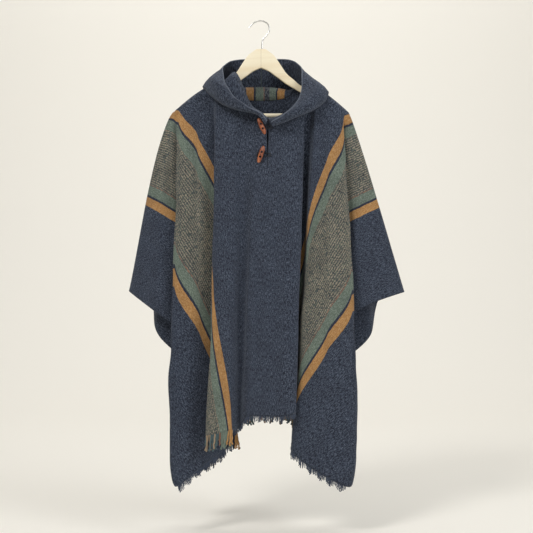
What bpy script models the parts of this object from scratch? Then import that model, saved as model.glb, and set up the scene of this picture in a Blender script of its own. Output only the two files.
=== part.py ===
"""A hooded, striped, fringed poncho closed with two toggles, hung on a wooden clothes hanger.

The origin is where a rod would touch the inside of the hook. X runs to the right, -Y is the
front and Z is up. Cloth coordinates are s, measured along the weft from the centre front or
back, and t, measured along the warp from the shoulder fold.
"""

import math

import bmesh
import bpy
from mathutils import Vector

NAME = "hooded_poncho_on_hanger"

# Cloth, flat
HALF_WIDTH = 0.70  # from the centre to each side edge
LENGTH = 0.82  # of each panel, from the shoulder fold to the hem
WALL = 0.002
FOLD_GAP = 0.0008  # each panel stops this far from the plane of the shoulder fold
SLIT_GAP = 0.0016

# Neck opening and the line of the shoulders over the hanger
NECK_S = 0.100
NECK_X = 0.112
NECK_Z = -0.158
FRONT_NECK_T = 0.074
FRONT_NECK = (0.017, -0.036, -0.099)  # shift in x, y and z of the centre front from the neck points
BACK_NECK_T = 0.022
BACK_NECK = (0.0, 0.040, -0.040)
TIP_X = 0.222
TIP_Z = -0.232
TIP_S = {1: 0.220, -1: 0.230}
SHOULDER_CURVE = 1.4
BELLY = 0.8  # under 1, the folds stand out early on their way down
ROLL = 0.0105  # how far the cloth stands forward of the fold, over the hanger arm
ROLL_LENGTH = 0.005

# Rows down the cloth, as shares of each fold line
ROWS = (0.0, 0.004, 0.012, 0.035, 0.08, 0.162, 0.23, 0.30, 0.37,
        0.44, 0.51, 0.58, 0.65, 0.72, 0.79, 0.86, 0.93, 1.0)
SLIT_ROW = 5  # the front slit ends at this one

# Fold lines from left to right. Each runs down the cloth from (s0, t0), on the neckline or the
# shoulder, to (s1, t1), on the hem or the side edge, which hangs at (x1, y1), "lift" above where
# its length alone would bring it. "turn" over 1 lets s change late. A line is bowed by bow_x,
# most at the share bow_at. "round" is 1 for a soft fold and less for a sharp one.
FOLD_COLUMNS = (
    "name", "s0", "t0", "s1", "t1", "x1", "y1", "lift", "turn", "bow_x", "bow_at", "roll", "round", "steps")
FRONT_FOLDS = (
    ("sleeve_fold_l", -0.230, 0.000, -HALF_WIDTH, 0.0, -0.336, 0.000, 0.000, 1.00, -0.016, 0.28, 0.0, 1.0, 3),
    ("sleeve_l", -0.226, 0.000, -HALF_WIDTH, 0.19, -0.272, -0.028, 0.000, 1.00, -0.004, 0.35, 0.7, 0.9, 4),
    ("side_valley_l", -0.221, 0.0, -HALF_WIDTH, 0.44, -0.115, 0.018, 0.000, 0.95, -0.014, 0.25, 1.0, 0.9, 4),
    ("corner_l", -0.214, 0.000, -HALF_WIDTH, LENGTH, -0.207, -0.072, 0.000, 0.85, -0.014, 0.74, 1.0, 0.85, 3),
    ("panel_l", -0.158, 0.000, -0.62, LENGTH, -0.142, -0.040, 0.000, 0.90, -0.006, 0.50, 1.0, 0.8, 3),
    ("valley_l", -0.112, 0.000, -0.48, LENGTH, -0.060, 0.004, -0.006, 1.00, 0.000, 0.50, 1.0, 0.9, 2),
    ("neck_l", -0.100, 0.000, -0.375, LENGTH, -0.121, -0.070, -0.014, 1.10, -0.002, 0.50, 1.0, 0.8, 1),
    ("neck_low_l", -0.099, 0.0104, -0.362, LENGTH, -0.129, -0.078, -0.018, 1.10, -0.001, 0.50, 0.0, 0.8, 2),
    ("ridge_l", -0.0866, 0.0277, -0.345, LENGTH, -0.137, -0.085, -0.020, 1.10, 0.000, 0.50, 0.0, 0.5, 3),
    ("stripe_l", -0.0626, 0.0414, -0.235, LENGTH, -0.0745, -0.090, -0.024, 1.10, 0.000, 0.50, 0.0, 0.8, 2),
    ("dip_l", -0.0392, 0.0500, -0.15, LENGTH, -0.052, -0.058, -0.024, 1.00, 0.000, 0.50, 0.0, 0.9, 2),
    ("lobe_l", -0.0199, 0.0585, -0.09, LENGTH, -0.034, -0.086, 0.000, 1.00, 0.000, 0.50, 0.0, 0.8, 2),
    ("centre_front", 0.000, 0.074, 0.00, LENGTH, 0.012, -0.085, 0.004, 1.00, 0.000, 0.50, 0.0, 1.0, 2),
    ("panel_c", 0.0527, 0.063, 0.06, LENGTH, 0.054, -0.088, 0.000, 1.00, 0.000, 0.50, 0.0, 1.0, 2),
    ("ridge_r", 0.0866, 0.037, 0.095, LENGTH, 0.0865, -0.080, 0.000, 1.00, 0.003, 0.50, 0.0, 0.5, 2),
    ("neck_low_r", 0.099, 0.0104, 0.110, LENGTH, 0.082, -0.076, 0.000, 1.00, 0.003, 0.50, 0.0, 0.6, 1),
    ("neck_r", 0.100, 0.000, 0.132, LENGTH, 0.070, -0.063, 0.000, 1.00, 0.002, 0.50, 0.6, 0.8, 2),
    ("valley_r", 0.111, 0.000, 0.27, LENGTH, 0.000, -0.010, 0.010, 1.30, 0.000, 0.50, 1.0, 0.9, 3),
    ("back_fold_r", 0.121, 0.000, 0.40, LENGTH, 0.081, 0.002, 0.040, 1.40, 0.000, 0.50, 1.0, 0.8, 2),
    ("inner_ridge_r", 0.130, 0.000, 0.545, LENGTH, 0.079, -0.066, 0.000, 1.40, 0.004, 0.45, 1.0, 0.5, 3),
    ("panel_r", 0.160, 0.000, 0.655, LENGTH, 0.160, -0.080, -0.006, 1.15, 0.006, 0.50, 1.0, 0.9, 3),
    ("corner_r", 0.202, 0.000, HALF_WIDTH, LENGTH, 0.212, -0.074, 0.000, 1.00, 0.0215, 0.64, 1.0, 0.85, 4),
    ("side_valley_r", 0.209, 0.000, HALF_WIDTH, 0.40, 0.115, 0.018, 0.000, 1.00, 0.006, 0.30, 1.0, 0.9, 4),
    ("sleeve_r", 0.215, 0.000, HALF_WIDTH, 0.11, 0.275, -0.022, 0.000, 1.05, 0.004, 0.50, 0.7, 0.9, 3),
    ("sleeve_fold_r", 0.220, 0.000, HALF_WIDTH, 0.00, 0.365, 0.000, 0.000, 1.00, 0.0045, 0.28, 0.0, 1.0, 0),
)
BACK_FOLDS = (
    ("sleeve_fold_l", -0.230, 0.000, -HALF_WIDTH, 0.0, -0.336, 0.000, 0.000, 1.00, -0.016, 0.28, 0.0, 1.0, 2),
    ("sleeve_l", -0.224, 0.000, -HALF_WIDTH, 0.13, -0.285, 0.070, 0.000, 1.00, -0.004, 0.35, 0.7, 0.9, 2),
    ("sleeve_low_l", -0.217, 0.000, -HALF_WIDTH, 0.31, -0.270, 0.040, 0.000, 1.00, 0.000, 0.50, 1.0, 0.9, 3),
    ("side_valley_l", -0.209, 0.000, -HALF_WIDTH, 0.50, -0.150, 0.040, 0.000, 1.00, 0.000, 0.50, 1.0, 0.9, 3),
    ("corner_l", -0.200, 0.000, -HALF_WIDTH, LENGTH, -0.188, 0.112, 0.000, 1.00, 0.000, 0.50, 1.0, 0.95, 4),
    ("valley_l", -0.165, 0.000, -0.58, LENGTH, -0.095, 0.040, 0.000, 1.10, 0.000, 0.50, 1.0, 0.9, 4),
    ("ridge_l", -0.125, 0.000, -0.44, LENGTH, -0.115, 0.128, 0.000, 1.10, 0.000, 0.50, 1.0, 0.95, 4),
    ("inner_valley_l", -0.100, 0.000, -0.29, LENGTH, -0.025, 0.045, 0.000, 1.10, 0.000, 0.50, 1.0, 0.9, 4),
    ("inner_ridge_l", -0.060, 0.0176, -0.14, LENGTH, -0.065, 0.122, 0.000, 1.00, 0.000, 0.50, 0.0, 0.9, 3),
    ("centre_back", 0.000, 0.022, 0.00, LENGTH, 0.005, 0.100, 0.000, 1.00, 0.000, 0.50, 0.0, 1.0, 3),
    ("inner_ridge_r", 0.060, 0.0176, 0.14, LENGTH, 0.080, 0.122, 0.000, 1.00, 0.000, 0.50, 0.0, 0.9, 3),
    ("inner_valley_r", 0.100, 0.000, 0.29, LENGTH, 0.055, 0.038, 0.020, 1.10, 0.000, 0.50, 1.0, 0.9, 4),
    ("ridge_r", 0.122, 0.000, 0.44, LENGTH, 0.130, 0.128, 0.000, 1.10, 0.000, 0.50, 1.0, 0.95, 4),
    ("valley_r", 0.155, 0.000, 0.58, LENGTH, 0.105, 0.040, 0.000, 1.10, 0.000, 0.50, 1.0, 0.9, 4),
    ("corner_r", 0.195, 0.000, HALF_WIDTH, LENGTH, 0.190, 0.112, 0.000, 1.00, 0.000, 0.50, 1.0, 0.95, 3),
    ("side_valley_r", 0.204, 0.000, HALF_WIDTH, 0.50, 0.155, 0.040, 0.000, 1.00, 0.000, 0.50, 1.0, 0.9, 3),
    ("sleeve_low_r", 0.211, 0.000, HALF_WIDTH, 0.31, 0.285, 0.040, 0.000, 1.00, 0.000, 0.50, 1.0, 0.9, 2),
    ("sleeve_r", 0.216, 0.000, HALF_WIDTH, 0.12, 0.305, 0.070, 0.000, 1.00, 0.004, 0.50, 0.7, 0.9, 2),
    ("sleeve_fold_r", 0.220, 0.000, HALF_WIDTH, 0.00, 0.365, 0.000, 0.000, 1.00, 0.0045, 0.28, 0.0, 1.0, 0),
)
ROUND, STEPS = FOLD_COLUMNS.index("round"), FOLD_COLUMNS.index("steps")
FRONT, BACK = -1, 1


def top_point(s, t, face):
    """Where the cloth's edge lies on the neckline or over the hanger."""
    side = 1 if s >= 0 else -1
    reach = abs(s)
    if reach <= NECK_S:
        depth, shift = (FRONT_NECK_T, FRONT_NECK) if face == FRONT else (BACK_NECK_T, BACK_NECK)
        k = t / depth
        x = side * NECK_X * reach / NECK_S + shift[0] * (1 - reach / NECK_S)
        rolled = ROLL * (1 - math.exp(shift[2] * k / ROLL_LENGTH)) * (1 - k)
        return Vector((x, face * (FOLD_GAP + rolled) + shift[1] * k, NECK_Z + shift[2] * k))
    a = (reach - NECK_S) / (TIP_S[side] - NECK_S)
    return Vector((
        side * (NECK_X + (TIP_X - NECK_X) * a),
        face * FOLD_GAP,
        NECK_Z + (TIP_Z - NECK_Z) * a**SHOULDER_CURVE,
    ))


def bulge(v, at):
    """0 at both ends of a line and 1 at the share where it bows most."""
    rise, fall = 2 * at, 2 * (1 - at)
    return (v / at) ** rise * ((1 - v) / (1 - at)) ** fall


def cloth_length(ds, dt, turn):
    """The length of a line over the flat cloth."""
    steps = [(ds * (k / 20) ** turn, dt * k / 20) for k in range(21)]
    return sum(math.dist(a, b) for a, b in zip(steps, steps[1:]))


def fold_point(row, v, face):
    """A point of one fold line, and its cloth coordinates."""
    _, s0, t0, s1, t1, x1, y1, lift, turn, bow_x, bow_at, roll, _, _ = row
    top = top_point(s0, t0, face)
    length = cloth_length(s1 - s0, t1 - t0, turn)
    y_end = y1 if y1 or t1 else face * FOLD_GAP
    dx, dy = x1 - top.x, y_end - top.y
    drop = math.sqrt(length**2 - dx**2 - dy**2) - lift
    rolled = ROLL * roll * (1 - math.exp(-v * length / ROLL_LENGTH)) * (1 - v)
    point = Vector((
        top.x + dx * v + bow_x * bulge(v, bow_at),
        top.y + dy * v**BELLY + face * rolled,
        top.z - drop * v,
    ))
    return point, (s0 + (s1 - s0) * v**turn, t0 + (t1 - t0) * v)


def slopes(points, rounds):
    """The direction in which the cloth crosses each fold line, per metre."""
    found = []
    for i, here in enumerate(points):
        ahead = points[i + 1] if i + 1 < len(points) else None
        behind = points[i - 1] if i else None
        if ahead is None:
            ahead = Vector((behind.x, -behind.y, behind.z))
        if behind is None:
            behind = Vector((points[i + 1].x, -points[i + 1].y, points[i + 1].z))
        before, after = (here - behind), (ahead - here)
        b, a = max(before.length, 1e-5), max(after.length, 1e-5)
        slope = (before / b * a + after / a * b) / (a + b)
        found.append(slope * rounds[i])
    return found


def hermite(p0, p1, m0, m1, f):
    f2, f3 = f * f, f * f * f
    return p0 * (2 * f3 - 3 * f2 + 1) + m0 * (f3 - 2 * f2 + f) + p1 * (3 * f2 - 2 * f3) + m1 * (f3 - f2)


def eased(f):
    """Columns a little closer to the fold lines than to the flats between them."""
    return f - 0.03 * math.sin(2 * math.pi * f)


def panel_row(folds, v, face):
    """One row across the panel: (point, (s, t)) for each column."""
    lines = [fold_point(row, v, face) for row in folds]
    points = [p for p, _ in lines]
    across = slopes(points, [row[ROUND] for row in folds])
    out = []
    for i, row in enumerate(folds[:-1]):
        chord = (points[i + 1] - points[i]).length
        (s_a, t_a), (s_b, t_b) = lines[i][1], lines[i + 1][1]
        for k in range(row[STEPS]):
            f = eased(k / row[STEPS])
            p = hermite(points[i], points[i + 1], across[i] * chord, across[i + 1] * chord, f)
            out.append((p, (s_a + (s_b - s_a) * f, t_a + (t_b - t_a) * f)))
    out.append((points[-1], lines[-1][1]))
    return out


def panel_rows(folds, face):
    return [panel_row(folds, v, face) for v in ROWS]


def column_of(folds, name):
    """The column at which a named fold line stands."""
    at = 0
    for row in folds:
        if row[0] == name:
            return at
        at += row[STEPS]
    raise KeyError(name)


def new_object(name, data, collection):
    obj = bpy.data.objects.new(name, data)
    collection.objects.link(obj)
    return obj


def material(name, colour, roughness, metallic=0.0):
    mat = bpy.data.materials.new(name)
    mat.use_nodes = True
    shader = mat.node_tree.nodes["Principled BSDF"]
    shader.inputs["Base Color"].default_value = (*colour, 1.0)
    shader.inputs["Roughness"].default_value = roughness
    shader.inputs["Metallic"].default_value = metallic
    mat.diffuse_color = (*colour, 1.0)
    return mat


def mesh_object(name, points, faces, collection):
    data = bpy.data.meshes.new(name)
    data.from_pydata([tuple(p) for p in points], [], faces)
    obj = new_object(name, data, collection)
    return obj


def faces_out(obj):
    """Turn every face of a closed body outwards."""
    bm = bmesh.new()
    bm.from_mesh(obj.data)
    bmesh.ops.recalc_face_normals(bm, faces=bm.faces)
    bm.to_mesh(obj.data)
    bm.free()


def cloth_wall(obj):
    wall = obj.modifiers.new("wall", "SOLIDIFY")
    wall.thickness = WALL
    wall.offset = 0.0
    wall.use_rim = True


def build_panel(name, folds, face, collection, slit):
    """An open surface through the rows, with the front slit left open, given its thickness."""
    rows = panel_rows(folds, face)
    middle = column_of(folds, "centre_front") if slit else None
    points, index = [], {}
    for r, row in enumerate(rows):
        for c, (p, _) in enumerate(row):
            if c == middle and r < SLIT_ROW:
                spread = Vector((SLIT_GAP / 2 + WALL / 4, 0.0, 0.0))
                index[r, c, -1], index[r, c, 1] = len(points), len(points) + 1
                points += [p - spread, p + spread]
            else:
                index[r, c, -1] = index[r, c, 1] = len(points)
                points.append(p)
    faces = []
    for r in range(len(rows) - 1):
        for c in range(len(rows[0]) - 1):
            quad = (index[r, c, 1], index[r + 1, c, 1], index[r + 1, c + 1, -1], index[r, c + 1, -1])
            faces.append(quad)
    obj = mesh_object(name, points, faces, collection)
    cloth_wall(obj)
    return obj


# Hood. Each station runs from the neck seam out to where the hood turns over (b), up its outer
# face (c) and to the edge of its mouth (m). "way" goes from the front, 0, to the centre back, 1,
# and "hump" is how far the hood stands up from the seam before it falls.
HOOD_COLUMNS = ("way", "hump", "bx", "by", "bz", "cx", "cy", "cz", "mx", "my", "mz")
HOOD_STATIONS = {
    1: (
        (0.00, 0.000, 0.031, -0.064, -0.274, 0.034, -0.074, -0.269, 0.027, -0.072, -0.264),
        (0.15, 0.002, 0.085, -0.062, -0.253, 0.080, -0.078, -0.243, 0.058, -0.078, -0.246),
        (0.30, 0.004, 0.132, -0.048, -0.233, 0.120, -0.064, -0.212, 0.086, -0.064, -0.219),
        (0.45, 0.004, 0.163, -0.028, -0.207, 0.146, -0.036, -0.175, 0.102, -0.038, -0.184),
        (0.58, 0.000, 0.171, 0.000, -0.179, 0.134, 0.006, -0.146, 0.104, -0.012, -0.140),
        (0.72, 0.010, 0.152, 0.060, -0.212, 0.120, 0.052, -0.140, 0.101, 0.026, -0.112),
        (0.86, 0.030, 0.095, 0.090, -0.290, 0.080, 0.108, -0.178, 0.070, 0.062, -0.088),
        (1.00, 0.038, 0.000, 0.098, -0.340, 0.000, 0.122, -0.205, 0.000, 0.078, -0.086),
    ),
    -1: (
        (0.00, 0.000, 0.012, -0.064, -0.269, 0.010, -0.074, -0.264, 0.015, -0.072, -0.262),
        (0.07, 0.000, -0.008, -0.066, -0.246, -0.012, -0.076, -0.242, -0.002, -0.077, -0.242),
        (0.17, 0.006, -0.050, -0.062, -0.236, -0.046, -0.078, -0.224, -0.034, -0.076, -0.227),
        (0.30, 0.072, -0.098, -0.048, -0.216, -0.088, -0.070, -0.192, -0.066, -0.072, -0.202),
        (0.45, 0.014, -0.134, -0.030, -0.188, -0.118, -0.048, -0.156, -0.088, -0.054, -0.168),
        (0.58, 0.000, -0.148, 0.000, -0.166, -0.123, 0.004, -0.134, -0.097, -0.018, -0.135),
        (0.72, 0.010, -0.136, 0.060, -0.204, -0.113, 0.052, -0.132, -0.096, 0.026, -0.110),
        (0.86, 0.030, -0.090, 0.090, -0.290, -0.078, 0.108, -0.178, -0.066, 0.062, -0.089),
        (1.00, 0.038, 0.000, 0.098, -0.340, 0.000, 0.122, -0.205, 0.000, 0.078, -0.086),
    ),
}
HOOD_STEPS = (2, 2, 3, 3, 3)
SEAM_GAP = 0.0012
STAND = 0.006  # the hood stands up this far from the seam before it falls outwards
CLEAR = 0.008  # and keeps about this far off the panels
NECK_WAY = 0.56  # the way at which the seam passes the neck points
NECK_TURN = 0.42  # and the share of it over which the seam turns from the front to the back
CREST_CLEAR = 0.006  # and this much more over the shoulders
RISE_SHARE, FALL_SHARE = 0.06, 0.52  # where it is highest and halfway down, between the seam and b
NECK_CLEAR = 0.0023  # how far in and up the seam stands off the corner at each neck point
HALF_GAP = 0.0005  # between each hood half's middle surface and the seam at the centre back


def neck_line(front, back, side):
    """One side of the neck's edge from centre front to centre back."""
    mid_f, mid_b = column_of(FRONT_FOLDS, "centre_front"), column_of(BACK_FOLDS, "centre_back")
    names = {1: ("neck_r", "inner_valley_r"), -1: ("neck_l", "inner_valley_l")}[side]
    end_f, end_b = column_of(FRONT_FOLDS, names[0]), column_of(BACK_FOLDS, names[1])
    line = [front[0][c][0] for c in range(mid_f, end_f, side)]
    line.append((front[0][end_f][0] + back[0][end_b][0]) / 2)
    return line + [back[0][c][0] for c in range(end_b - side, mid_b - side, -side)]


def seam_frame(line, i, way, side):
    """At a point of the neck's edge: the way off the panel's face, and the way off its edge."""
    f = min(max(0.5 + (way - NECK_WAY) / NECK_TURN, 0.0), 1.0)
    turn = math.pi * f * f * (3 - 2 * f)
    out = Vector((side * math.sin(turn), -math.cos(turn), 0.0))
    if i in (0, len(line) - 1):
        return out, Vector((0.0, 0.0, 1.0))
    tangent = (line[i + 1] - line[i - 1]).normalized()
    return out, side * out.cross(tangent).normalized()


def along(table, way):
    """A row of the hood's table at any way round the neck, smoothly joined."""
    for i in range(len(table) - 1):
        w0, w1 = table[i][0], table[i + 1][0]
        if way <= w1 or i == len(table) - 2:
            f = (way - w0) / (w1 - w0)
            before = table[max(i - 1, 0)]
            after = table[min(i + 2, len(table) - 1)]
            row = []
            for a, p, q, b in zip(before[1:], table[i][1:], table[i + 1][1:], after[1:]):
                m0, m1 = (q - a) / 2, (b - p) / 2
                if i == 0:
                    m0 = q - p
                if i == len(table) - 2:
                    m1 = 0.0
                row.append(hermite(p, q, m0, m1, f))
            return row
    raise ValueError(way)


def section_curve(knots, steps):
    """Points along a smooth curve through the knots."""
    out = []
    for i in range(len(knots) - 1):
        before = knots[max(i - 1, 0)]
        after = knots[min(i + 2, len(knots) - 1)]
        chord = (knots[i + 1] - knots[i]).length
        m0 = (knots[i + 1] - before).normalized() * chord * 0.8
        m1 = (after - knots[i]).normalized() * chord * 0.8
        for k in range(steps[i]):
            out.append(hermite(knots[i], knots[i + 1], m0, m1, k / steps[i]))
    out.append(knots[-1])
    return out


def hood_section(seam, out, up, way, side):
    hump, bx, by, bz, cx, cy, cz, mx, my, mz = along(HOOD_STATIONS[side], way)
    b, c, m = Vector((bx, by, bz)), Vector((cx, cy, cz)), Vector((mx, my, mz))
    off, crest = out * CLEAR, Vector((0.0, 0.0, CREST_CLEAR * out.x**2))
    start = seam + up * SEAM_GAP + Vector((-side * NECK_CLEAR, 0.0, NECK_CLEAR)) * out.x**2
    rise = start + (b - start) * RISE_SHARE + up * STAND + off * 0.4 + crest * 0.4 + Vector((0.0, 0.0, hump))
    fall = start + (b - start) * FALL_SHARE + off * 0.6 + crest + Vector((0.0, 0.0, hump * 0.5))
    return section_curve([start, rise, fall, b, c, m], HOOD_STEPS)


def hood_sections(side):
    """The sections of one hood half, from the front to the centre back."""
    line = neck_line(panel_rows(FRONT_FOLDS, FRONT), panel_rows(BACK_FOLDS, BACK), side)
    lengths = [0.0]
    for a, b in zip(line, line[1:]):
        lengths.append(lengths[-1] + (b - a).length)
    sections = []
    for i, seam in enumerate(line):
        way = lengths[i] / lengths[-1]
        sections.append(hood_section(seam, *seam_frame(line, i, way, side), way, side))
    for p in sections[-1]:
        p.x = side * HALF_GAP
    for p in sections[0]:
        p.x += side * HALF_GAP
    return sections


def build_hood(name, side, collection):
    sections = hood_sections(side)
    rows = len(sections[0])
    points = [p for section in sections for p in section]
    faces = []
    for c in range(len(sections) - 1):
        for r in range(rows - 1):
            a = c * rows + r
            faces.append((a, a + 1, a + rows + 1, a + rows))
    obj = mesh_object(name, points, faces, collection)
    cloth_wall(obj)
    return obj


# Fringe
STRANDS = 96
STRAND_SHARE = 0.6  # of each pitch; the rest is the gap to the next strand
ROOT_DEPTH = 0.003
HEM_GAP = 0.0018
FOLD_CLEAR = 0.0012  # how far the strip stands off the outside of a sharp fold in the hem
FOLD_DROP = 0.0125  # and below it
MOST_SLANT = 0.35
LONG_FRINGE = 0.036
SHORT_FRINGE = 0.019
COLOURED = (0.22, 0.474)  # s between which the warp is coloured and its fringe long
TIP_SHARE = 0.45
STRAND_VARIES, STRAND_LEANS = 0.12, 0.16  # shares by which strands differ in length and lean aside


def hem_points(folds, face):
    """The lower edge of a panel between its corners: point, down the cloth, s, off the fold."""
    rows = panel_rows(folds, face)
    first, last = column_of(folds, "corner_l"), column_of(folds, "corner_r")
    found = []
    for c in range(first, last + 1):
        (low, (s, _)), (above, _) = rows[-1][c], rows[-2][c]
        inside = sum(((rows[-1][n][0] - low).normalized() for n in (c - 1, c + 1)), Vector())
        down = (low - above).normalized()
        found.append((low, down, s, inside * -FOLD_CLEAR + down * FOLD_DROP * (inside.length / 2)**4))
    return found


def fringe_stations(hem):
    """Points below the hem: (point, down, s, whether a strand starts here), with one at each hem vertex."""
    whole = sum((b[0] - a[0]).length for a, b in zip(hem, hem[1:]))
    pitch = whole / STRANDS
    out = []
    for (p, d, s, o), (q, e, u, r) in zip(hem, hem[1:]):
        count = int((q - p).length / pitch + 0.4)
        p, q = p + o, q + r
        out.append((p, d, s, False))
        for k in range(count):
            for f, starts in (((k + 0.2) / count, True), ((k + 0.2 + STRAND_SHARE) / count, False)):
                out.append((p + (q - p) * f, (d + (e - d) * f).normalized(), s + (u - s) * f, starts))
    p, d, s, o = hem[-1]
    out.append((p + o, d, s, False))
    return out


def build_fringe(name, folds, face, collection):
    """A narrow strip below the hem, with a tapered strand from every second step."""
    stations = fringe_stations(hem_points(folds, face))
    points = []
    for i, (p, down, _, _) in enumerate(stations):
        near = [station[0] for station in stations[max(i - 1, 0):i + 2]]
        across = [(b - a).normalized().cross(down) for a, b in zip(near, near[1:])]
        normal = sum((a.normalized() for a in across), Vector()).normalized()
        gap = HEM_GAP / max(min(a.length for a in across), MOST_SLANT)
        top, low = p + down * gap, p + down * (gap + ROOT_DEPTH)
        half = normal * WALL / 2
        points += [top - half, top + half, low + half, low - half]
    faces = [(3, 2, 1, 0)]
    for i in range(len(stations) - 1):
        a, b = 4 * i, 4 * (i + 1)
        faces += [(a, a + 1, b + 1, b), (a + 1, a + 2, b + 2, b + 1), (a + 3, a, b, b + 3)]
        if not stations[i][3]:
            faces.append((a + 2, a + 3, b + 3, b + 2))
            continue
        middle_s = abs(stations[i][2] + stations[i + 1][2]) / 2
        length = LONG_FRINGE if COLOURED[0] < middle_s < COLOURED[1] else SHORT_FRINGE
        length *= 1.0 + STRAND_VARIES * math.sin(2.4 * i)
        corners = [a + 3, a + 2, b + 2, b + 3]
        centre = sum((points[c] for c in corners), Vector()) / 4
        down = (stations[i][1] + Vector((0.0, 0.0, -1.0))).normalized()
        lean = (points[b + 2] - points[a + 2]) * STRAND_LEANS * math.sin(1.7 * i)
        tips = len(points)
        points += [centre + down * length + lean + (points[c] - centre) * TIP_SHARE for c in corners]
        for k in range(4):
            n = (k + 1) % 4
            faces.append((corners[k], corners[n], tips + n, tips + k))
        faces.append((tips, tips + 1, tips + 2, tips + 3))
    last = 4 * (len(stations) - 1)
    faces.append((last, last + 1, last + 2, last + 3))
    obj = mesh_object(name, points, faces, collection)
    faces_out(obj)
    return obj


# Toggles and their loops: ends of each toggle as (x, z), upper end first
TOGGLE_RADIUS = 0.0060
TOGGLE_ENDS = {
    "toggle_upper": ((-0.0070, -0.2530), (0.0112, -0.2945)),
    "toggle_lower": ((0.0070, -0.3225), (-0.0070, -0.3655)),
}
TOGGLE_PROFILE = ((0.0, 0.45), (0.06, 0.72), (0.2, 0.93), (0.5, 1.0))  # share of length, of radius
TOGGLE_LIFT = {"toggle_upper": 0.0178, "toggle_lower": 0.0095}  # the axis, off the cloth's middle
LOOP_LIFT = 0.0028  # of its root, off the cloth's middle
LOOP_NEAR, LOOP_KNEE, LOOP_FAR = 0.026, 0.009, 0.010  # its root, knee and bend, from the toggle's middle
LOOP_HALF_WIDTH = 0.0045
LOOP_ROOT = 0.002
LOOP_CLEAR = 0.0003
CORD_RADIUS = 0.0013
BESIDE_SLIT = 0.05  # how far to either side of the slit the cloth under the toggles is looked for


def cloth_y(x, z):
    """The middle of the front cloth beside the slit at a height."""
    rows = panel_rows(FRONT_FOLDS, FRONT)
    middle = column_of(FRONT_FOLDS, "centre_front")
    best = 0.0
    for c in range(middle - 3, middle + 3):
        for upper, lower in zip(rows, rows[1:]):
            (p, _), (q, _) = upper[c], lower[c]
            if q.z <= z <= p.z and abs(p.x - x) < BESIDE_SLIT:
                f = (p.z - z) / (p.z - q.z)
                best = min(best, p.y + (q.y - p.y) * f)
    return best


def toggle_y(name):
    """The toggle's axis, in front of the cloth."""
    return min(cloth_y(x, z) for x, z in TOGGLE_ENDS[name]) - TOGGLE_LIFT[name]


def build_toggle(name, collection):
    (x0, z0), (x1, z1) = TOGGLE_ENDS[name]
    length = math.hypot(x1 - x0, z1 - z0)
    half = [(share * length, radius * TOGGLE_RADIUS) for share, radius in TOGGLE_PROFILE]
    profile = [(0.0, 0.0)] + half + [(length - a, r) for a, r in reversed(half[:-1])] + [(length, 0.0)]
    points = [(r, 0.0, a - length / 2) for a, r in profile]
    data = bpy.data.meshes.new(name)
    data.from_pydata(points, [(i, i + 1) for i in range(len(points) - 1)], [])
    obj = new_object(name, data, collection)
    lathe = obj.modifiers.new("turned", "SCREW")
    lathe.steps = lathe.render_steps = 16
    lathe.use_merge_vertices = True
    lathe.merge_threshold = 0.00001
    lathe.use_normal_calculate = True
    obj.location = ((x0 + x1) / 2, toggle_y(name), (z0 + z1) / 2)
    obj.rotation_euler = (0.0, math.atan2(x0 - x1, z0 - z1), 0.0)
    return obj


def cord(name, path, radius, collection, closed=False):
    curve = bpy.data.curves.new(name, "CURVE")
    curve.dimensions = "3D"
    curve.bevel_depth = radius
    curve.bevel_resolution = 1
    curve.use_fill_caps = not closed
    line = curve.splines.new("POLY")
    line.points.add(len(path) - 1)
    for point, place in zip(line.points, path):
        point.co = (*place, 1.0)
    line.use_cyclic_u = closed
    return new_object(name, curve, collection)


def build_loop(name, toggle, side, collection):
    """A cord loop from beside the slit, which rises off the cloth to pass behind the toggle's middle."""
    (x0, z0), (x1, z1) = TOGGLE_ENDS[toggle]
    mid_x, mid_z = (x0 + x1) / 2, (z0 + z1) / 2
    near, knee, far = mid_x + side * LOOP_NEAR, mid_x + side * LOOP_KNEE, mid_x - side * LOOP_FAR
    bend = [
        (far + side * LOOP_HALF_WIDTH * (1 - math.sin(a)), mid_z + LOOP_HALF_WIDTH * math.cos(a))
        for a in (math.pi * k / 12 for k in range(13))
    ]
    low = min(cloth_y(x, z) for x, z in bend + [(near, mid_z)]) - LOOP_LIFT
    high = toggle_y(toggle) + TOGGLE_RADIUS + CORD_RADIUS + LOOP_CLEAR
    path = [(near, low, mid_z + LOOP_ROOT), (knee, high, mid_z + LOOP_HALF_WIDTH)]
    path += [(x, high, z) for x, z in bend]
    path += [(knee, high, mid_z - LOOP_HALF_WIDTH), (near, low, mid_z - LOOP_ROOT)]
    return cord(name, path, CORD_RADIUS, collection)


# Hanger: sections of one arm as (x, top, bottom)
ARM_HALF_THICKNESS = 0.0055
ARM_CHAMFER = 0.003
ARM_CLEARANCE = 0.0038
ARM_INNER = (
    (0.000, -0.0700, -0.119),
    (0.012, -0.0712, -0.124),
    (0.022, -0.0780, -0.129),
    (0.034, -0.0880, -0.138),
    (0.048, -0.1080, -0.148),
    (0.064, -0.1320, -0.160),
    (0.084, -0.1495, -0.172),
    (0.102, -0.1640, -0.182),
)
ARM_OUTER = ((0.120, 0.021), (0.130, 0.021), (0.160, 0.021), (0.188, 0.021), (0.190, 0.041), (0.212, 0.022))
BAR_Z = -0.2400
BAR_RADIUS = 0.0053
BAR_HALF_LENGTH = 0.1878
HOOK_RADIUS = 0.0019
HOOK_PATH = ((-0.0310, -0.0163), (-0.0185, -0.0035), (0.0, 0.0019), (0.0165, -0.0060), (0.0214, -0.0199),
             (0.0160, -0.0335), (0.0060, -0.0440), (0.0030, -0.0560), (0.0030, -0.0698))


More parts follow.
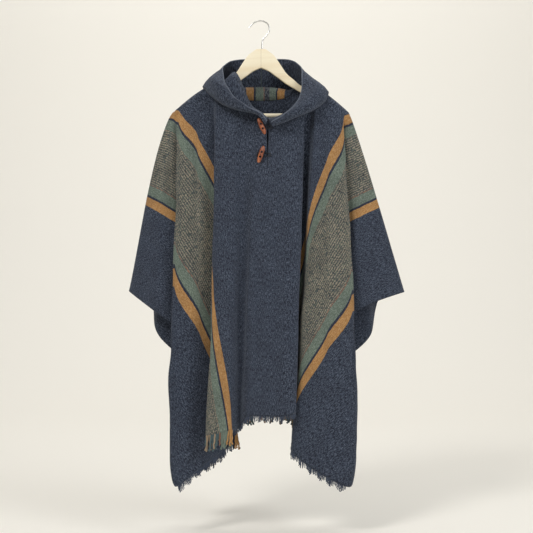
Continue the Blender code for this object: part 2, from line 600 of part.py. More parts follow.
def shoulder_z(x):
    """The inside of the cloth over the hanger, where the arm lies under it."""
    a = max(0.0, (x - NECK_X) / (TIP_X - NECK_X))
    return NECK_Z + (TIP_Z - NECK_Z) * a**SHOULDER_CURVE - ARM_CLEARANCE


def build_hanger_body(name, collection):
    sections = list(ARM_INNER) + [(x, shoulder_z(x), shoulder_z(x) - deep) for x, deep in ARM_OUTER]
    half, chamfer = ARM_HALF_THICKNESS, ARM_CHAMFER
    points, faces = [], []
    for x, top, bottom in sections:
        ring = (
            (-half, bottom + chamfer), (-half, top - chamfer), (-half + chamfer, top), (half - chamfer, top),
            (half, top - chamfer), (half, bottom + chamfer), (half - chamfer, bottom), (-half + chamfer, bottom),
        )
        points += [(x, y, z) for y, z in ring]
    for i in range(len(sections) - 1):
        for k in range(8):
            n = (k + 1) % 8
            a, b = 8 * i, 8 * (i + 1)
            faces.append((a + k, b + k, b + n, a + n))
    faces.append(tuple(8 * (len(sections) - 1) + k for k in reversed(range(8))))
    obj = mesh_object(name, points, faces, collection)
    mirror = obj.modifiers.new("other_arm", "MIRROR")
    mirror.use_axis = (True, False, False)
    mirror.merge_threshold = 0.00001
    return obj


def build_hook(name, collection):
    obj = cord(name, [(x, 0.0, z) for x, z in HOOK_PATH], HOOK_RADIUS, collection)
    obj.data.bevel_resolution = 2
    obj.data.resolution_u = 1
    return obj


def main():
    for obj in list(bpy.data.objects):
        bpy.data.objects.remove(obj, do_unlink=True)
    collection = bpy.data.collections.new(NAME)
    bpy.context.scene.collection.children.link(collection)
    navy = material("navy_heather_wool", (0.035, 0.048, 0.078), 0.95)
    stripe = material("striped_wool_fringe", (0.10, 0.09, 0.07), 0.95)
    wood = material("birch_wood", (0.87, 0.74, 0.52), 0.55)
    red_wood = material("red_brown_wood", (0.40, 0.09, 0.03), 0.45)
    cotton = material("dark_cord", (0.02, 0.02, 0.03), 0.9)
    wire = material("plated_wire", (0.75, 0.75, 0.74), 0.3, 1.0)
    built = [
        (build_panel("front_panel", FRONT_FOLDS, FRONT, collection, True), navy),
        (build_panel("back_panel", BACK_FOLDS, BACK, collection, False), navy),
        (build_hood("hood_right", 1, collection), navy),
        (build_hood("hood_left", -1, collection), navy),
        (build_fringe("fringe_front", FRONT_FOLDS, FRONT, collection), stripe),
        (build_fringe("fringe_back", BACK_FOLDS, BACK, collection), stripe),
        (build_toggle("toggle_upper", collection), red_wood),
        (build_toggle("toggle_lower", collection), red_wood),
        (build_loop("loop_upper", "toggle_upper", 1, collection), cotton),
        (build_loop("loop_lower", "toggle_lower", 1, collection), cotton),
        (build_hanger_body("hanger_body", collection), wood),
        (cord("hanger_bar", [(-BAR_HALF_LENGTH, 0.0, BAR_Z), (BAR_HALF_LENGTH, 0.0, BAR_Z)], BAR_RADIUS,
              collection), wood),
        (build_hook("hanger_hook", collection), wire),
    ]
    for obj, mat in built:
        obj.data.materials.append(mat)


main()
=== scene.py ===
"""A hooded, striped, fringed wool poncho on its wooden hanger: the finished cloth, wood, cord and wire."""

import math

import bmesh
import bpy
from mathutils import Matrix, Vector, noise


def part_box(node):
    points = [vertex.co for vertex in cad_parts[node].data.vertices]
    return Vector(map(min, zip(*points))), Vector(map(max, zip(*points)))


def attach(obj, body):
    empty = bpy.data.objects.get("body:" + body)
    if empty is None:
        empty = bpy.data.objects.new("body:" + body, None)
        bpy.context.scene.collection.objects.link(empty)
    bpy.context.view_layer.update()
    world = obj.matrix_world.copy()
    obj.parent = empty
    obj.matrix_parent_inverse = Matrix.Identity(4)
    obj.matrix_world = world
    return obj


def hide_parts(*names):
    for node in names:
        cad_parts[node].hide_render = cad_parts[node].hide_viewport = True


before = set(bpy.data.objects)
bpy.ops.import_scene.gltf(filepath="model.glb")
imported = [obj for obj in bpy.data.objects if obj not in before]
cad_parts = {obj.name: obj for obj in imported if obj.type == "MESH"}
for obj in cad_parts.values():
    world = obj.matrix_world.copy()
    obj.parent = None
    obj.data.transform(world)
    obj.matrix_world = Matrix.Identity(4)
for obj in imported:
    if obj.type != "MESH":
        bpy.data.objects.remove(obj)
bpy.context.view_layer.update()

# ---------------------------------------------------------------- the form, on the same sizes as the solids

# Cloth, flat
HALF_WIDTH = 0.70  # from the centre to each side edge
LENGTH = 0.82  # of each panel, from the shoulder fold to the hem
FOLD_GAP = 0.0008  # each panel stops this far from the plane of the shoulder fold

# Neck opening and the line of the shoulders over the hanger
NECK_S = 0.100
NECK_X = 0.112
NECK_Z = -0.158
FRONT_NECK_T = 0.074
FRONT_NECK = (0.017, -0.036, -0.099)  # shift in x, y and z of the centre front from the neck points
BACK_NECK_T = 0.022
BACK_NECK = (0.0, 0.040, -0.040)
TIP_X = 0.222
TIP_Z = -0.232
TIP_S = {1: 0.220, -1: 0.230}
SHOULDER_CURVE = 1.4
BELLY = 0.8  # under 1, the folds stand out early on their way down
ROLL = 0.0105  # how far the cloth stands forward of the fold, over the hanger arm
ROLL_LENGTH = 0.005

# Rows down the cloth, as shares of each fold line
ROWS = (0.0, 0.004, 0.012, 0.035, 0.08, 0.162, 0.23, 0.30, 0.37,
        0.44, 0.51, 0.58, 0.65, 0.72, 0.79, 0.86, 0.93, 1.0)
SLIT_ROW = 5  # the front slit ends at this one

# Fold lines from left to right. Each runs down the cloth from (s0, t0), on the neckline or the
# shoulder, to (s1, t1), on the hem or the side edge, which hangs at (x1, y1), "lift" above where
# its length alone would bring it. "turn" over 1 lets s change late. A line is bowed by bow_x,
# most at the share bow_at. "round" is 1 for a soft fold and less for a sharp one.
FOLD_COLUMNS = (
    "name", "s0", "t0", "s1", "t1", "x1", "y1", "lift", "turn", "bow_x", "bow_at", "roll", "round", "steps")
FRONT_FOLDS = (
    ("sleeve_fold_l", -0.230, 0.000, -HALF_WIDTH, 0.0, -0.336, 0.000, 0.000, 1.00, -0.016, 0.28, 0.0, 1.0, 3),
    ("sleeve_l", -0.226, 0.000, -HALF_WIDTH, 0.19, -0.272, -0.028, 0.000, 1.00, -0.004, 0.35, 0.7, 0.9, 4),
    ("side_valley_l", -0.221, 0.0, -HALF_WIDTH, 0.44, -0.115, 0.018, 0.000, 0.95, -0.014, 0.25, 1.0, 0.9, 4),
    ("corner_l", -0.214, 0.000, -HALF_WIDTH, LENGTH, -0.207, -0.072, 0.000, 0.85, -0.014, 0.74, 1.0, 0.85, 3),
    ("panel_l", -0.158, 0.000, -0.62, LENGTH, -0.142, -0.040, 0.000, 0.90, -0.006, 0.50, 1.0, 0.8, 3),
    ("valley_l", -0.112, 0.000, -0.48, LENGTH, -0.060, 0.004, -0.006, 1.00, 0.000, 0.50, 1.0, 0.9, 2),
    ("neck_l", -0.100, 0.000, -0.375, LENGTH, -0.121, -0.070, -0.014, 1.10, -0.002, 0.50, 1.0, 0.8, 1),
    ("neck_low_l", -0.099, 0.0104, -0.362, LENGTH, -0.129, -0.078, -0.018, 1.10, -0.001, 0.50, 0.0, 0.8, 2),
    ("ridge_l", -0.0866, 0.0277, -0.345, LENGTH, -0.137, -0.085, -0.020, 1.10, 0.000, 0.50, 0.0, 0.5, 3),
    ("stripe_l", -0.0626, 0.0414, -0.235, LENGTH, -0.0745, -0.090, -0.024, 1.10, 0.000, 0.50, 0.0, 0.8, 2),
    ("dip_l", -0.0392, 0.0500, -0.15, LENGTH, -0.052, -0.058, -0.024, 1.00, 0.000, 0.50, 0.0, 0.9, 2),
    ("lobe_l", -0.0199, 0.0585, -0.09, LENGTH, -0.034, -0.086, 0.000, 1.00, 0.000, 0.50, 0.0, 0.8, 2),
    ("centre_front", 0.000, 0.074, 0.00, LENGTH, 0.012, -0.085, 0.004, 1.00, 0.000, 0.50, 0.0, 1.0, 2),
    ("panel_c", 0.0527, 0.063, 0.06, LENGTH, 0.054, -0.088, 0.000, 1.00, 0.000, 0.50, 0.0, 1.0, 2),
    ("ridge_r", 0.0866, 0.037, 0.095, LENGTH, 0.0865, -0.080, 0.000, 1.00, 0.003, 0.50, 0.0, 0.5, 2),
    ("neck_low_r", 0.099, 0.0104, 0.110, LENGTH, 0.082, -0.076, 0.000, 1.00, 0.003, 0.50, 0.0, 0.6, 1),
    ("neck_r", 0.100, 0.000, 0.132, LENGTH, 0.070, -0.063, 0.000, 1.00, 0.002, 0.50, 0.6, 0.8, 2),
    ("valley_r", 0.111, 0.000, 0.27, LENGTH, 0.000, -0.010, 0.010, 1.30, 0.000, 0.50, 1.0, 0.9, 3),
    ("back_fold_r", 0.121, 0.000, 0.40, LENGTH, 0.081, 0.002, 0.040, 1.40, 0.000, 0.50, 1.0, 0.8, 2),
    ("inner_ridge_r", 0.130, 0.000, 0.545, LENGTH, 0.079, -0.066, 0.000, 1.40, 0.004, 0.45, 1.0, 0.5, 3),
    ("panel_r", 0.160, 0.000, 0.655, LENGTH, 0.160, -0.080, -0.006, 1.15, 0.006, 0.50, 1.0, 0.9, 3),
    ("corner_r", 0.202, 0.000, HALF_WIDTH, LENGTH, 0.212, -0.074, 0.000, 1.00, 0.0215, 0.64, 1.0, 0.85, 4),
    ("side_valley_r", 0.209, 0.000, HALF_WIDTH, 0.40, 0.115, 0.018, 0.000, 1.00, 0.006, 0.30, 1.0, 0.9, 4),
    ("sleeve_r", 0.215, 0.000, HALF_WIDTH, 0.11, 0.275, -0.022, 0.000, 1.05, 0.004, 0.50, 0.7, 0.9, 3),
    ("sleeve_fold_r", 0.220, 0.000, HALF_WIDTH, 0.00, 0.365, 0.000, 0.000, 1.00, 0.0045, 0.28, 0.0, 1.0, 0),
)
BACK_FOLDS = (
    ("sleeve_fold_l", -0.230, 0.000, -HALF_WIDTH, 0.0, -0.336, 0.000, 0.000, 1.00, -0.016, 0.28, 0.0, 1.0, 2),
    ("sleeve_l", -0.224, 0.000, -HALF_WIDTH, 0.13, -0.285, 0.070, 0.000, 1.00, -0.004, 0.35, 0.7, 0.9, 2),
    ("sleeve_low_l", -0.217, 0.000, -HALF_WIDTH, 0.31, -0.270, 0.040, 0.000, 1.00, 0.000, 0.50, 1.0, 0.9, 3),
    ("side_valley_l", -0.209, 0.000, -HALF_WIDTH, 0.50, -0.150, 0.040, 0.000, 1.00, 0.000, 0.50, 1.0, 0.9, 3),
    ("corner_l", -0.200, 0.000, -HALF_WIDTH, LENGTH, -0.188, 0.112, 0.000, 1.00, 0.000, 0.50, 1.0, 0.95, 4),
    ("valley_l", -0.165, 0.000, -0.58, LENGTH, -0.095, 0.040, 0.000, 1.10, 0.000, 0.50, 1.0, 0.9, 4),
    ("ridge_l", -0.125, 0.000, -0.44, LENGTH, -0.115, 0.128, 0.000, 1.10, 0.000, 0.50, 1.0, 0.95, 4),
    ("inner_valley_l", -0.100, 0.000, -0.29, LENGTH, -0.025, 0.045, 0.000, 1.10, 0.000, 0.50, 1.0, 0.9, 4),
    ("inner_ridge_l", -0.060, 0.0176, -0.14, LENGTH, -0.065, 0.122, 0.000, 1.00, 0.000, 0.50, 0.0, 0.9, 3),
    ("centre_back", 0.000, 0.022, 0.00, LENGTH, 0.005, 0.100, 0.000, 1.00, 0.000, 0.50, 0.0, 1.0, 3),
    ("inner_ridge_r", 0.060, 0.0176, 0.14, LENGTH, 0.080, 0.122, 0.000, 1.00, 0.000, 0.50, 0.0, 0.9, 3),
    ("inner_valley_r", 0.100, 0.000, 0.29, LENGTH, 0.055, 0.038, 0.020, 1.10, 0.000, 0.50, 1.0, 0.9, 4),
    ("ridge_r", 0.122, 0.000, 0.44, LENGTH, 0.130, 0.128, 0.000, 1.10, 0.000, 0.50, 1.0, 0.95, 4),
    ("valley_r", 0.155, 0.000, 0.58, LENGTH, 0.105, 0.040, 0.000, 1.10, 0.000, 0.50, 1.0, 0.9, 4),
    ("corner_r", 0.195, 0.000, HALF_WIDTH, LENGTH, 0.190, 0.112, 0.000, 1.00, 0.000, 0.50, 1.0, 0.95, 3),
    ("side_valley_r", 0.204, 0.000, HALF_WIDTH, 0.50, 0.155, 0.040, 0.000, 1.00, 0.000, 0.50, 1.0, 0.9, 3),
    ("sleeve_low_r", 0.211, 0.000, HALF_WIDTH, 0.31, 0.285, 0.040, 0.000, 1.00, 0.000, 0.50, 1.0, 0.9, 2),
    ("sleeve_r", 0.216, 0.000, HALF_WIDTH, 0.12, 0.305, 0.070, 0.000, 1.00, 0.004, 0.50, 0.7, 0.9, 2),
    ("sleeve_fold_r", 0.220, 0.000, HALF_WIDTH, 0.00, 0.365, 0.000, 0.000, 1.00, 0.0045, 0.28, 0.0, 1.0, 0),
)
ROUND, STEPS = FOLD_COLUMNS.index("round"), FOLD_COLUMNS.index("steps")
FRONT, BACK = -1, 1


def top_point(s, t, face):
    """Where the cloth's edge lies on the neckline or over the hanger."""
    side = 1 if s >= 0 else -1
    reach = abs(s)
    if reach <= NECK_S:
        depth, shift = (FRONT_NECK_T, FRONT_NECK) if face == FRONT else (BACK_NECK_T, BACK_NECK)
        k = t / depth
        x = side * NECK_X * reach / NECK_S + shift[0] * (1 - reach / NECK_S)
        rolled = ROLL * (1 - math.exp(shift[2] * k / ROLL_LENGTH)) * (1 - k)
        return Vector((x, face * (FOLD_GAP + rolled) + shift[1] * k, NECK_Z + shift[2] * k))
    a = (reach - NECK_S) / (TIP_S[side] - NECK_S)
    return Vector((
        side * (NECK_X + (TIP_X - NECK_X) * a),
        face * FOLD_GAP,
        NECK_Z + (TIP_Z - NECK_Z) * a**SHOULDER_CURVE,
    ))


def bulge(v, at):
    """0 at both ends of a line and 1 at the share where it bows most."""
    rise, fall = 2 * at, 2 * (1 - at)
    return (v / at) ** rise * ((1 - v) / (1 - at)) ** fall


def cloth_length(ds, dt, turn):
    """The length of a line over the flat cloth."""
    steps = [(ds * (k / 20) ** turn, dt * k / 20) for k in range(21)]
    return sum(math.dist(a, b) for a, b in zip(steps, steps[1:]))


def fold_point(row, v, face):
    """A point of one fold line, and its cloth coordinates."""
    _, s0, t0, s1, t1, x1, y1, lift, turn, bow_x, bow_at, roll, _, _ = row
    top = top_point(s0, t0, face)
    length = cloth_length(s1 - s0, t1 - t0, turn)
    y_end = y1 if y1 or t1 else face * FOLD_GAP
    dx, dy = x1 - top.x, y_end - top.y
    drop = math.sqrt(length**2 - dx**2 - dy**2) - lift
    rolled = ROLL * roll * (1 - math.exp(-v * length / ROLL_LENGTH)) * (1 - v)
    point = Vector((
        top.x + dx * v + bow_x * bulge(v, bow_at),
        top.y + dy * v**BELLY + face * rolled,
        top.z - drop * v,
    ))
    return point, (s0 + (s1 - s0) * v**turn, t0 + (t1 - t0) * v)


def slopes(points, rounds):
    """The direction in which the cloth crosses each fold line, per metre."""
    found = []
    for i, here in enumerate(points):
        ahead = points[i + 1] if i + 1 < len(points) else None
        behind = points[i - 1] if i else None
        if ahead is None:
            ahead = Vector((behind.x, -behind.y, behind.z))
        if behind is None:
            behind = Vector((points[i + 1].x, -points[i + 1].y, points[i + 1].z))
        before, after = (here - behind), (ahead - here)
        b, a = max(before.length, 1e-5), max(after.length, 1e-5)
        slope = (before / b * a + after / a * b) / (a + b)
        found.append(slope * rounds[i])
    return found


def hermite(p0, p1, m0, m1, f):
    """The point at share f of a smooth curve from p0 to p1, with slopes m0 and m1."""
    f2, f3 = f * f, f * f * f
    return p0 * (2 * f3 - 3 * f2 + 1) + m0 * (f3 - 2 * f2 + f) + p1 * (3 * f2 - 2 * f3) + m1 * (f3 - f2)


def neighbours(knots, i):
    """The knots before and after the stretch from knot i to the next."""
    return knots[max(i - 1, 0)], knots[min(i + 2, len(knots) - 1)]


def eased(f):
    """Columns a little closer to the fold lines than to the flats between them."""
    return f - 0.03 * math.sin(2 * math.pi * f)


def panel_row(folds, v, face):
    """One row across the panel: (point, (s, t)) for each column."""
    lines = [fold_point(row, v, face) for row in folds]
    points = [p for p, _ in lines]
    across = slopes(points, [row[ROUND] for row in folds])
    out = []
    for i, row in enumerate(folds[:-1]):
        chord = (points[i + 1] - points[i]).length
        (s_a, t_a), (s_b, t_b) = lines[i][1], lines[i + 1][1]
        for k in range(row[STEPS]):
            f = eased(k / row[STEPS])
            p = hermite(points[i], points[i + 1], across[i] * chord, across[i + 1] * chord, f)
            out.append((p, (s_a + (s_b - s_a) * f, t_a + (t_b - t_a) * f)))
    out.append((points[-1], lines[-1][1]))
    return out


def panel_rows(folds, face):
    return [panel_row(folds, v, face) for v in ROWS]


def column_of(folds, name):
    """The column at which a named fold line stands."""
    at = 0
    for row in folds:
        if row[0] == name:
            return at
        at += row[STEPS]
    raise KeyError(name)


# Hood. Each station runs from the neck seam out to where the hood turns over (b), up its outer
# face (c) and to the edge of its mouth (m). "way" goes from the front, 0, to the centre back, 1,
# and "hump" is how far the hood stands up from the seam before it falls.
# Columns: way, hump, then x, y and z of b, c and m.
HOOD_STATIONS = {
    1: (
        (0.00, 0.000, 0.031, -0.064, -0.274, 0.034, -0.074, -0.269, 0.027, -0.072, -0.264),
        (0.15, 0.002, 0.085, -0.062, -0.253, 0.080, -0.078, -0.243, 0.058, -0.078, -0.246),
        (0.30, 0.004, 0.132, -0.048, -0.233, 0.120, -0.064, -0.212, 0.086, -0.064, -0.219),
        (0.45, 0.004, 0.163, -0.028, -0.207, 0.146, -0.036, -0.175, 0.102, -0.038, -0.184),
        (0.58, 0.000, 0.171, 0.000, -0.179, 0.134, 0.006, -0.146, 0.104, -0.012, -0.140),
        (0.72, 0.010, 0.152, 0.060, -0.212, 0.120, 0.052, -0.140, 0.101, 0.026, -0.112),
        (0.86, 0.030, 0.095, 0.090, -0.290, 0.080, 0.108, -0.178, 0.070, 0.062, -0.088),
        (1.00, 0.038, 0.000, 0.098, -0.340, 0.000, 0.122, -0.205, 0.000, 0.078, -0.086),
    ),
    -1: (
        (0.00, 0.000, 0.012, -0.064, -0.269, 0.010, -0.074, -0.264, 0.015, -0.072, -0.262),
        (0.07, 0.000, -0.008, -0.066, -0.246, -0.012, -0.076, -0.242, -0.002, -0.077, -0.242),
        (0.17, 0.006, -0.050, -0.062, -0.236, -0.046, -0.078, -0.224, -0.034, -0.076, -0.227),
        (0.30, 0.072, -0.098, -0.048, -0.216, -0.088, -0.070, -0.192, -0.066, -0.072, -0.202),
        (0.45, 0.014, -0.134, -0.030, -0.188, -0.118, -0.048, -0.156, -0.088, -0.054, -0.168),
        (0.58, 0.000, -0.148, 0.000, -0.166, -0.123, 0.004, -0.134, -0.097, -0.018, -0.135),
        (0.72, 0.010, -0.136, 0.060, -0.204, -0.113, 0.052, -0.132, -0.096, 0.026, -0.110),
        (0.86, 0.030, -0.090, 0.090, -0.290, -0.078, 0.108, -0.178, -0.066, 0.062, -0.089),
        (1.00, 0.038, 0.000, 0.098, -0.340, 0.000, 0.122, -0.205, 0.000, 0.078, -0.086),
    ),
}
HOOD_STEPS = (2, 2, 3, 3, 3)
SEAM_GAP = 0.0012
STAND = 0.006  # the hood stands up this far from the seam before it falls outwards
CLEAR = 0.008  # and keeps about this far off the panels
NECK_WAY = 0.56  # the way at which the seam passes the neck points
NECK_TURN = 0.42  # and the share of it over which the seam turns from the front to the back
CREST_CLEAR = 0.006  # and this much more over the shoulders
RISE_SHARE, FALL_SHARE = 0.06, 0.52  # where it is highest and halfway down, between the seam and b
NECK_CLEAR = 0.0023  # how far in and up the seam stands off the corner at each neck point
HALF_GAP = 0.0005  # between each hood half's middle surface and the seam at the centre back


def neck_line(front, back, side, fine):
    """One side of the neck's edge from centre front to centre back."""
    mid_f = column_of(FRONT_FOLDS, "centre_front") * fine
    mid_b = column_of(BACK_FOLDS, "centre_back") * fine
    names = {1: ("neck_r", "inner_valley_r"), -1: ("neck_l", "inner_valley_l")}[side]
    end_f, end_b = column_of(FRONT_FOLDS, names[0]) * fine, column_of(BACK_FOLDS, names[1]) * fine
    line = [front[0][c][0] for c in range(mid_f, end_f, side)]
    line.append((front[0][end_f][0] + back[0][end_b][0]) / 2)
    return line + [back[0][c][0] for c in range(end_b - side, mid_b - side, -side)]


def seam_frame(line, i, way, side):
    """At a point of the neck's edge: the way off the panel's face, and the way off its edge."""
    f = min(max(0.5 + (way - NECK_WAY) / NECK_TURN, 0.0), 1.0)
    turn = math.pi * f * f * (3 - 2 * f)
    out = Vector((side * math.sin(turn), -math.cos(turn), 0.0))
    if i in (0, len(line) - 1):
        return out, Vector((0.0, 0.0, 1.0))
    tangent = (line[i + 1] - line[i - 1]).normalized()
    return out, side * out.cross(tangent).normalized()


def along(table, way):
    """A row of the hood's table at any way round the neck, smoothly joined."""
    for i in range(len(table) - 1):
        w0, w1 = table[i][0], table[i + 1][0]
        if way <= w1 or i == len(table) - 2:
            f = (way - w0) / (w1 - w0)
            before, after = neighbours(table, i)
            row = []
            for a, p, q, b in zip(before[1:], table[i][1:], table[i + 1][1:], after[1:]):
                m0, m1 = (q - a) / 2, (b - p) / 2
                if i == 0:
                    m0 = q - p
                if i == len(table) - 2:
                    m1 = 0.0
                row.append(hermite(p, q, m0, m1, f))
            return row
    raise ValueError(way)


def section_curve(knots, steps):
    """Points along a smooth curve through the knots."""
    out = []
    for i in range(len(knots) - 1):
        before, after = neighbours(knots, i)
        chord = (knots[i + 1] - knots[i]).length
        m0 = (knots[i + 1] - before).normalized() * chord * 0.8
        m1 = (after - knots[i]).normalized() * chord * 0.8
        for k in range(steps[i]):
            out.append(hermite(knots[i], knots[i + 1], m0, m1, k / steps[i]))
    out.append(knots[-1])
    return out


def hood_section(seam, out, up, way, side):
    """One section of the hood, from its seam to the edge of its mouth."""
    hump, bx, by, bz, cx, cy, cz, mx, my, mz = along(HOOD_STATIONS[side], way)
    b, c, m = Vector((bx, by, bz)), Vector((cx, cy, cz)), Vector((mx, my, mz))
    off, crest = out * CLEAR, Vector((0.0, 0.0, CREST_CLEAR * out.x**2))
    start = seam + up * SEAM_GAP + Vector((-side * NECK_CLEAR, 0.0, NECK_CLEAR)) * out.x**2
    hump = Vector((0.0, 0.0, hump))
    rise = start + (b - start) * RISE_SHARE + up * STAND + off * 0.4 + crest * 0.4 + hump
    fall = start + (b - start) * FALL_SHARE + off * 0.6 + crest + hump * 0.5
    return section_curve([start, rise, fall, b, c, m], HOOD_STEPS)


def hood_sections(front, back, side, fine):
    """The sections of one hood half, from the front to the centre back, and the way of each."""
    line = neck_line(front, back, side, fine)
    lengths = [0.0]
    for a, b in zip(line, line[1:]):
        lengths.append(lengths[-1] + (b - a).length)
    sections, ways = [], [length / lengths[-1] for length in lengths]
    for i, seam in enumerate(line):
        sections.append(hood_section(seam, *seam_frame(line, i, ways[i], side), ways[i], side))
    for p in sections[-1]:
        p.x = side * HALF_GAP
    for p in sections[0]:
        p.x += side * HALF_GAP
    return sections, ways, lengths[-1]


# Fringe
LONG_FRINGE = 0.036
SHORT_FRINGE = 0.019
COLOURED = (0.22, 0.474)  # s between which the warp is coloured and its fringe long

# Toggles and their loops. A toggle's ends are (x, z), the upper end first.
TOGGLE_RADIUS = 0.0060
TOGGLE_ENDS = {
    "toggle_upper": ((-0.0070, -0.2530), (0.0112, -0.2945)),
    "toggle_lower": ((0.0070, -0.3225), (-0.0070, -0.3655)),
}
LOOP_NEAR, LOOP_KNEE, LOOP_FAR = 0.026, 0.009, 0.010  # its root, knee and bend, from the toggle's middle
LOOP_HALF_WIDTH = 0.0045
LOOP_ROOT = 0.002
CORD_RADIUS = 0.0013

# Hanger. ARM_INNER holds sections of one arm as (x, top, bottom). Further out, ARM_OUTER holds
# (x, depth), and the top lies just under the cloth.
ARM_HALF_THICKNESS = 0.0055
ARM_CHAMFER = 0.003
ARM_CLEARANCE = 0.0038
ARM_INNER = (
    (0.000, -0.0700, -0.119),
    (0.012, -0.0712, -0.124),
    (0.022, -0.0780, -0.129),
    (0.034, -0.0880, -0.138),
    (0.048, -0.1080, -0.148),
    (0.064, -0.1320, -0.160),
    (0.084, -0.1495, -0.172),
    (0.102, -0.1640, -0.182),
)
ARM_OUTER = ((0.120, 0.021), (0.130, 0.021), (0.160, 0.021), (0.188, 0.021), (0.190, 0.041), (0.212, 0.022))
BAR_Z = -0.2400
BAR_RADIUS = 0.0053
BAR_HALF_LENGTH = 0.1878
HOOK_RADIUS = 0.0019
HOOK_PATH = ((-0.0310, -0.0163), (-0.0185, -0.0035), (0.0, 0.0019), (0.0165, -0.0060), (0.0214, -0.0199),
             (0.0160, -0.0335), (0.0060, -0.0440), (0.0030, -0.0560), (0.0030, -0.0698))


def shoulder_z(x):
    """The inside of the cloth over the hanger, where the arm lies under it."""
    a = max(0.0, (x - NECK_X) / (TIP_X - NECK_X))
    return NECK_Z + (TIP_Z - NECK_Z) * a**SHOULDER_CURVE - ARM_CLEARANCE


# ---------------------------------------------------------------- shader maths


def socket_of(value):
    """What a node can be linked to, or the plain value."""
    return value.out if isinstance(value, Value) else value


class Value:
    """A number that varies over a surface, with arithmetic that adds Math nodes."""

    def __init__(self, maker, out):
        self.maker, self.out = maker, out

    def _math(self, operation, *others):
        return self.maker.math(operation, self, *others)

    def __add__(self, other):
        return self._math("ADD", other)

    __radd__ = __add__

    def __sub__(self, other):
        return self._math("SUBTRACT", other)

    def __rsub__(self, other):
        return self.maker.math("SUBTRACT", other, self)

    def __mul__(self, other):
        return self._math("MULTIPLY", other)

    __rmul__ = __mul__

    def __truediv__(self, other):
        return self._math("DIVIDE", other)

    def __rtruediv__(self, other):
        return self.maker.math("DIVIDE", other, self)

    def __abs__(self):
        return self._math("ABSOLUTE")

    def __gt__(self, other):
        return self._math("GREATER_THAN", other)

    def __lt__(self, other):
        return self._math("LESS_THAN", other)

    def sin(self):
        return self._math("SINE")

    def step(self, low, high):
        """0 below low, 1 above high and smooth between them."""
        return Value(self.maker, self.maker.node(
            "ShaderNodeMapRange", {"interpolation_type": "SMOOTHSTEP"},
            {"Value": self, "From Min": low, "From Max": high}).outputs["Result"])


class Finish:
    """One material, made from its Principled shader outwards.

    Its patterns follow the UV map "uv", or else Object coordinates. "sheen" is a weight, a roughness
    and a colour, and "coat" a weight and a roughness.
    """

    def __init__(self, name, roughness=0.9, metallic=0.0, sheen=None, coat=None, uv=None):
        self.uv = uv
        self.material = bpy.data.materials.new(name)
        self.material.use_nodes = True
        self.tree = self.material.node_tree
        self.shader = self.tree.nodes["Principled BSDF"]
        self.shader.inputs["Roughness"].default_value = roughness
        self.shader.inputs["Metallic"].default_value = metallic
        if sheen:
            self.shader.inputs["Sheen Weight"].default_value = sheen[0]
            self.shader.inputs["Sheen Roughness"].default_value = sheen[1]
            self.shader.inputs["Sheen Tint"].default_value = (*sheen[2], 1.0)
        if coat:
            self.shader.inputs["Coat Weight"].default_value = coat[0]
            self.shader.inputs["Coat Roughness"].default_value = coat[1]

    def node(self, kind, settings=None, sockets=None):
        """A node of a type, with its settings first and then the values or links of its sockets."""
        made = self.tree.nodes.new(kind)
        for key, value in (settings or {}).items():
            if key == "stops":
                ramp = made.color_ramp
                while len(ramp.elements) < len(value):
                    ramp.elements.new(1.0)
                for element, (place, colour) in zip(ramp.elements, value):
                    element.position, element.color = place, (*colour, 1.0)
            elif key == "ramp_interpolation":
                made.color_ramp.interpolation = value
            else:
                setattr(made, key, value)
        for key, value in (sockets or {}).items():
            self.plug(value, made.inputs[key])
        return made

    def plug(self, value, target):
        """Link a socket to another, or set the other's value."""
        value = socket_of(value)
        if isinstance(value, bpy.types.NodeSocket):
            self.tree.links.new(value, target)
        elif isinstance(value, (tuple, list)) and target.type == "RGBA" and len(value) == 3:
            target.default_value = (*value, 1.0)
        else:
            target.default_value = value

    def math(self, operation, *values):
        made = self.node("ShaderNodeMath", {"operation": operation}, dict(enumerate(values)))
        return Value(self, made.outputs[0])

    def mix(self, factor, a, b, blend="MIX"):
        """A colour between a and b."""
        made = self.node("ShaderNodeMix", {"data_type": "RGBA", "blend_type": blend},
                         {0: factor, 6: a, 7: b})
        return made.outputs[2]

    def ramp(self, factor, stops, interpolation="LINEAR"):
        made = self.node("ShaderNodeValToRGB", {"stops": stops, "ramp_interpolation": interpolation},
                         {"Fac": factor})
        return made.outputs["Color"]

    def place(self, scale=(1.0, 1.0, 1.0), turn=(0.0, 0.0, 0.0)):
        """The material's coordinates, scaled and turned by a Mapping node."""
        if self.uv:
            source = self.node("ShaderNodeUVMap", {"uv_map": self.uv}).outputs["UV"]
        else:
            source = self.node("ShaderNodeTexCoord").outputs["Object"]
        return self.node("ShaderNodeMapping", None,
                         {"Vector": source, "Scale": scale, "Rotation": turn}).outputs["Vector"]

    def split(self, vector):
        """The three parts of a vector."""
        made = self.node("ShaderNodeSeparateXYZ", None, {"Vector": vector})
        return [Value(self, made.outputs[axis]) for axis in "XYZ"]

    def noise(self, scale, detail=2.0, roughness=0.5, distortion=0.0, turn=(0.0, 0.0, 0.0)):
        """Unevenness as fine along each axis as "scale" says, in steps per metre."""
        made = self.node("ShaderNodeTexNoise", None, {
            "Vector": self.place(scale, turn), "Scale": 1.0, "Detail": detail, "Roughness": roughness,
            "Distortion": distortion})
        return Value(self, made.outputs["Fac"])

    def attribute(self, name):
        return Value(self, self.node("ShaderNodeAttribute", {"attribute_name": name}).outputs["Fac"])

    def colour(self, value):
        self.plug(value, self.shader.inputs["Base Color"])

    def rough(self, value):
        self.plug(value, self.shader.inputs["Roughness"])

    def bump(self, height, distance, strength=1.0):
        made = self.node("ShaderNodeBump", None, {
            "Height": height, "Distance": distance, "Strength": strength})
        self.tree.links.new(made.outputs["Normal"], self.shader.inputs["Normal"])


# ---------------------------------------------------------------- yarns and stripes, linear colours

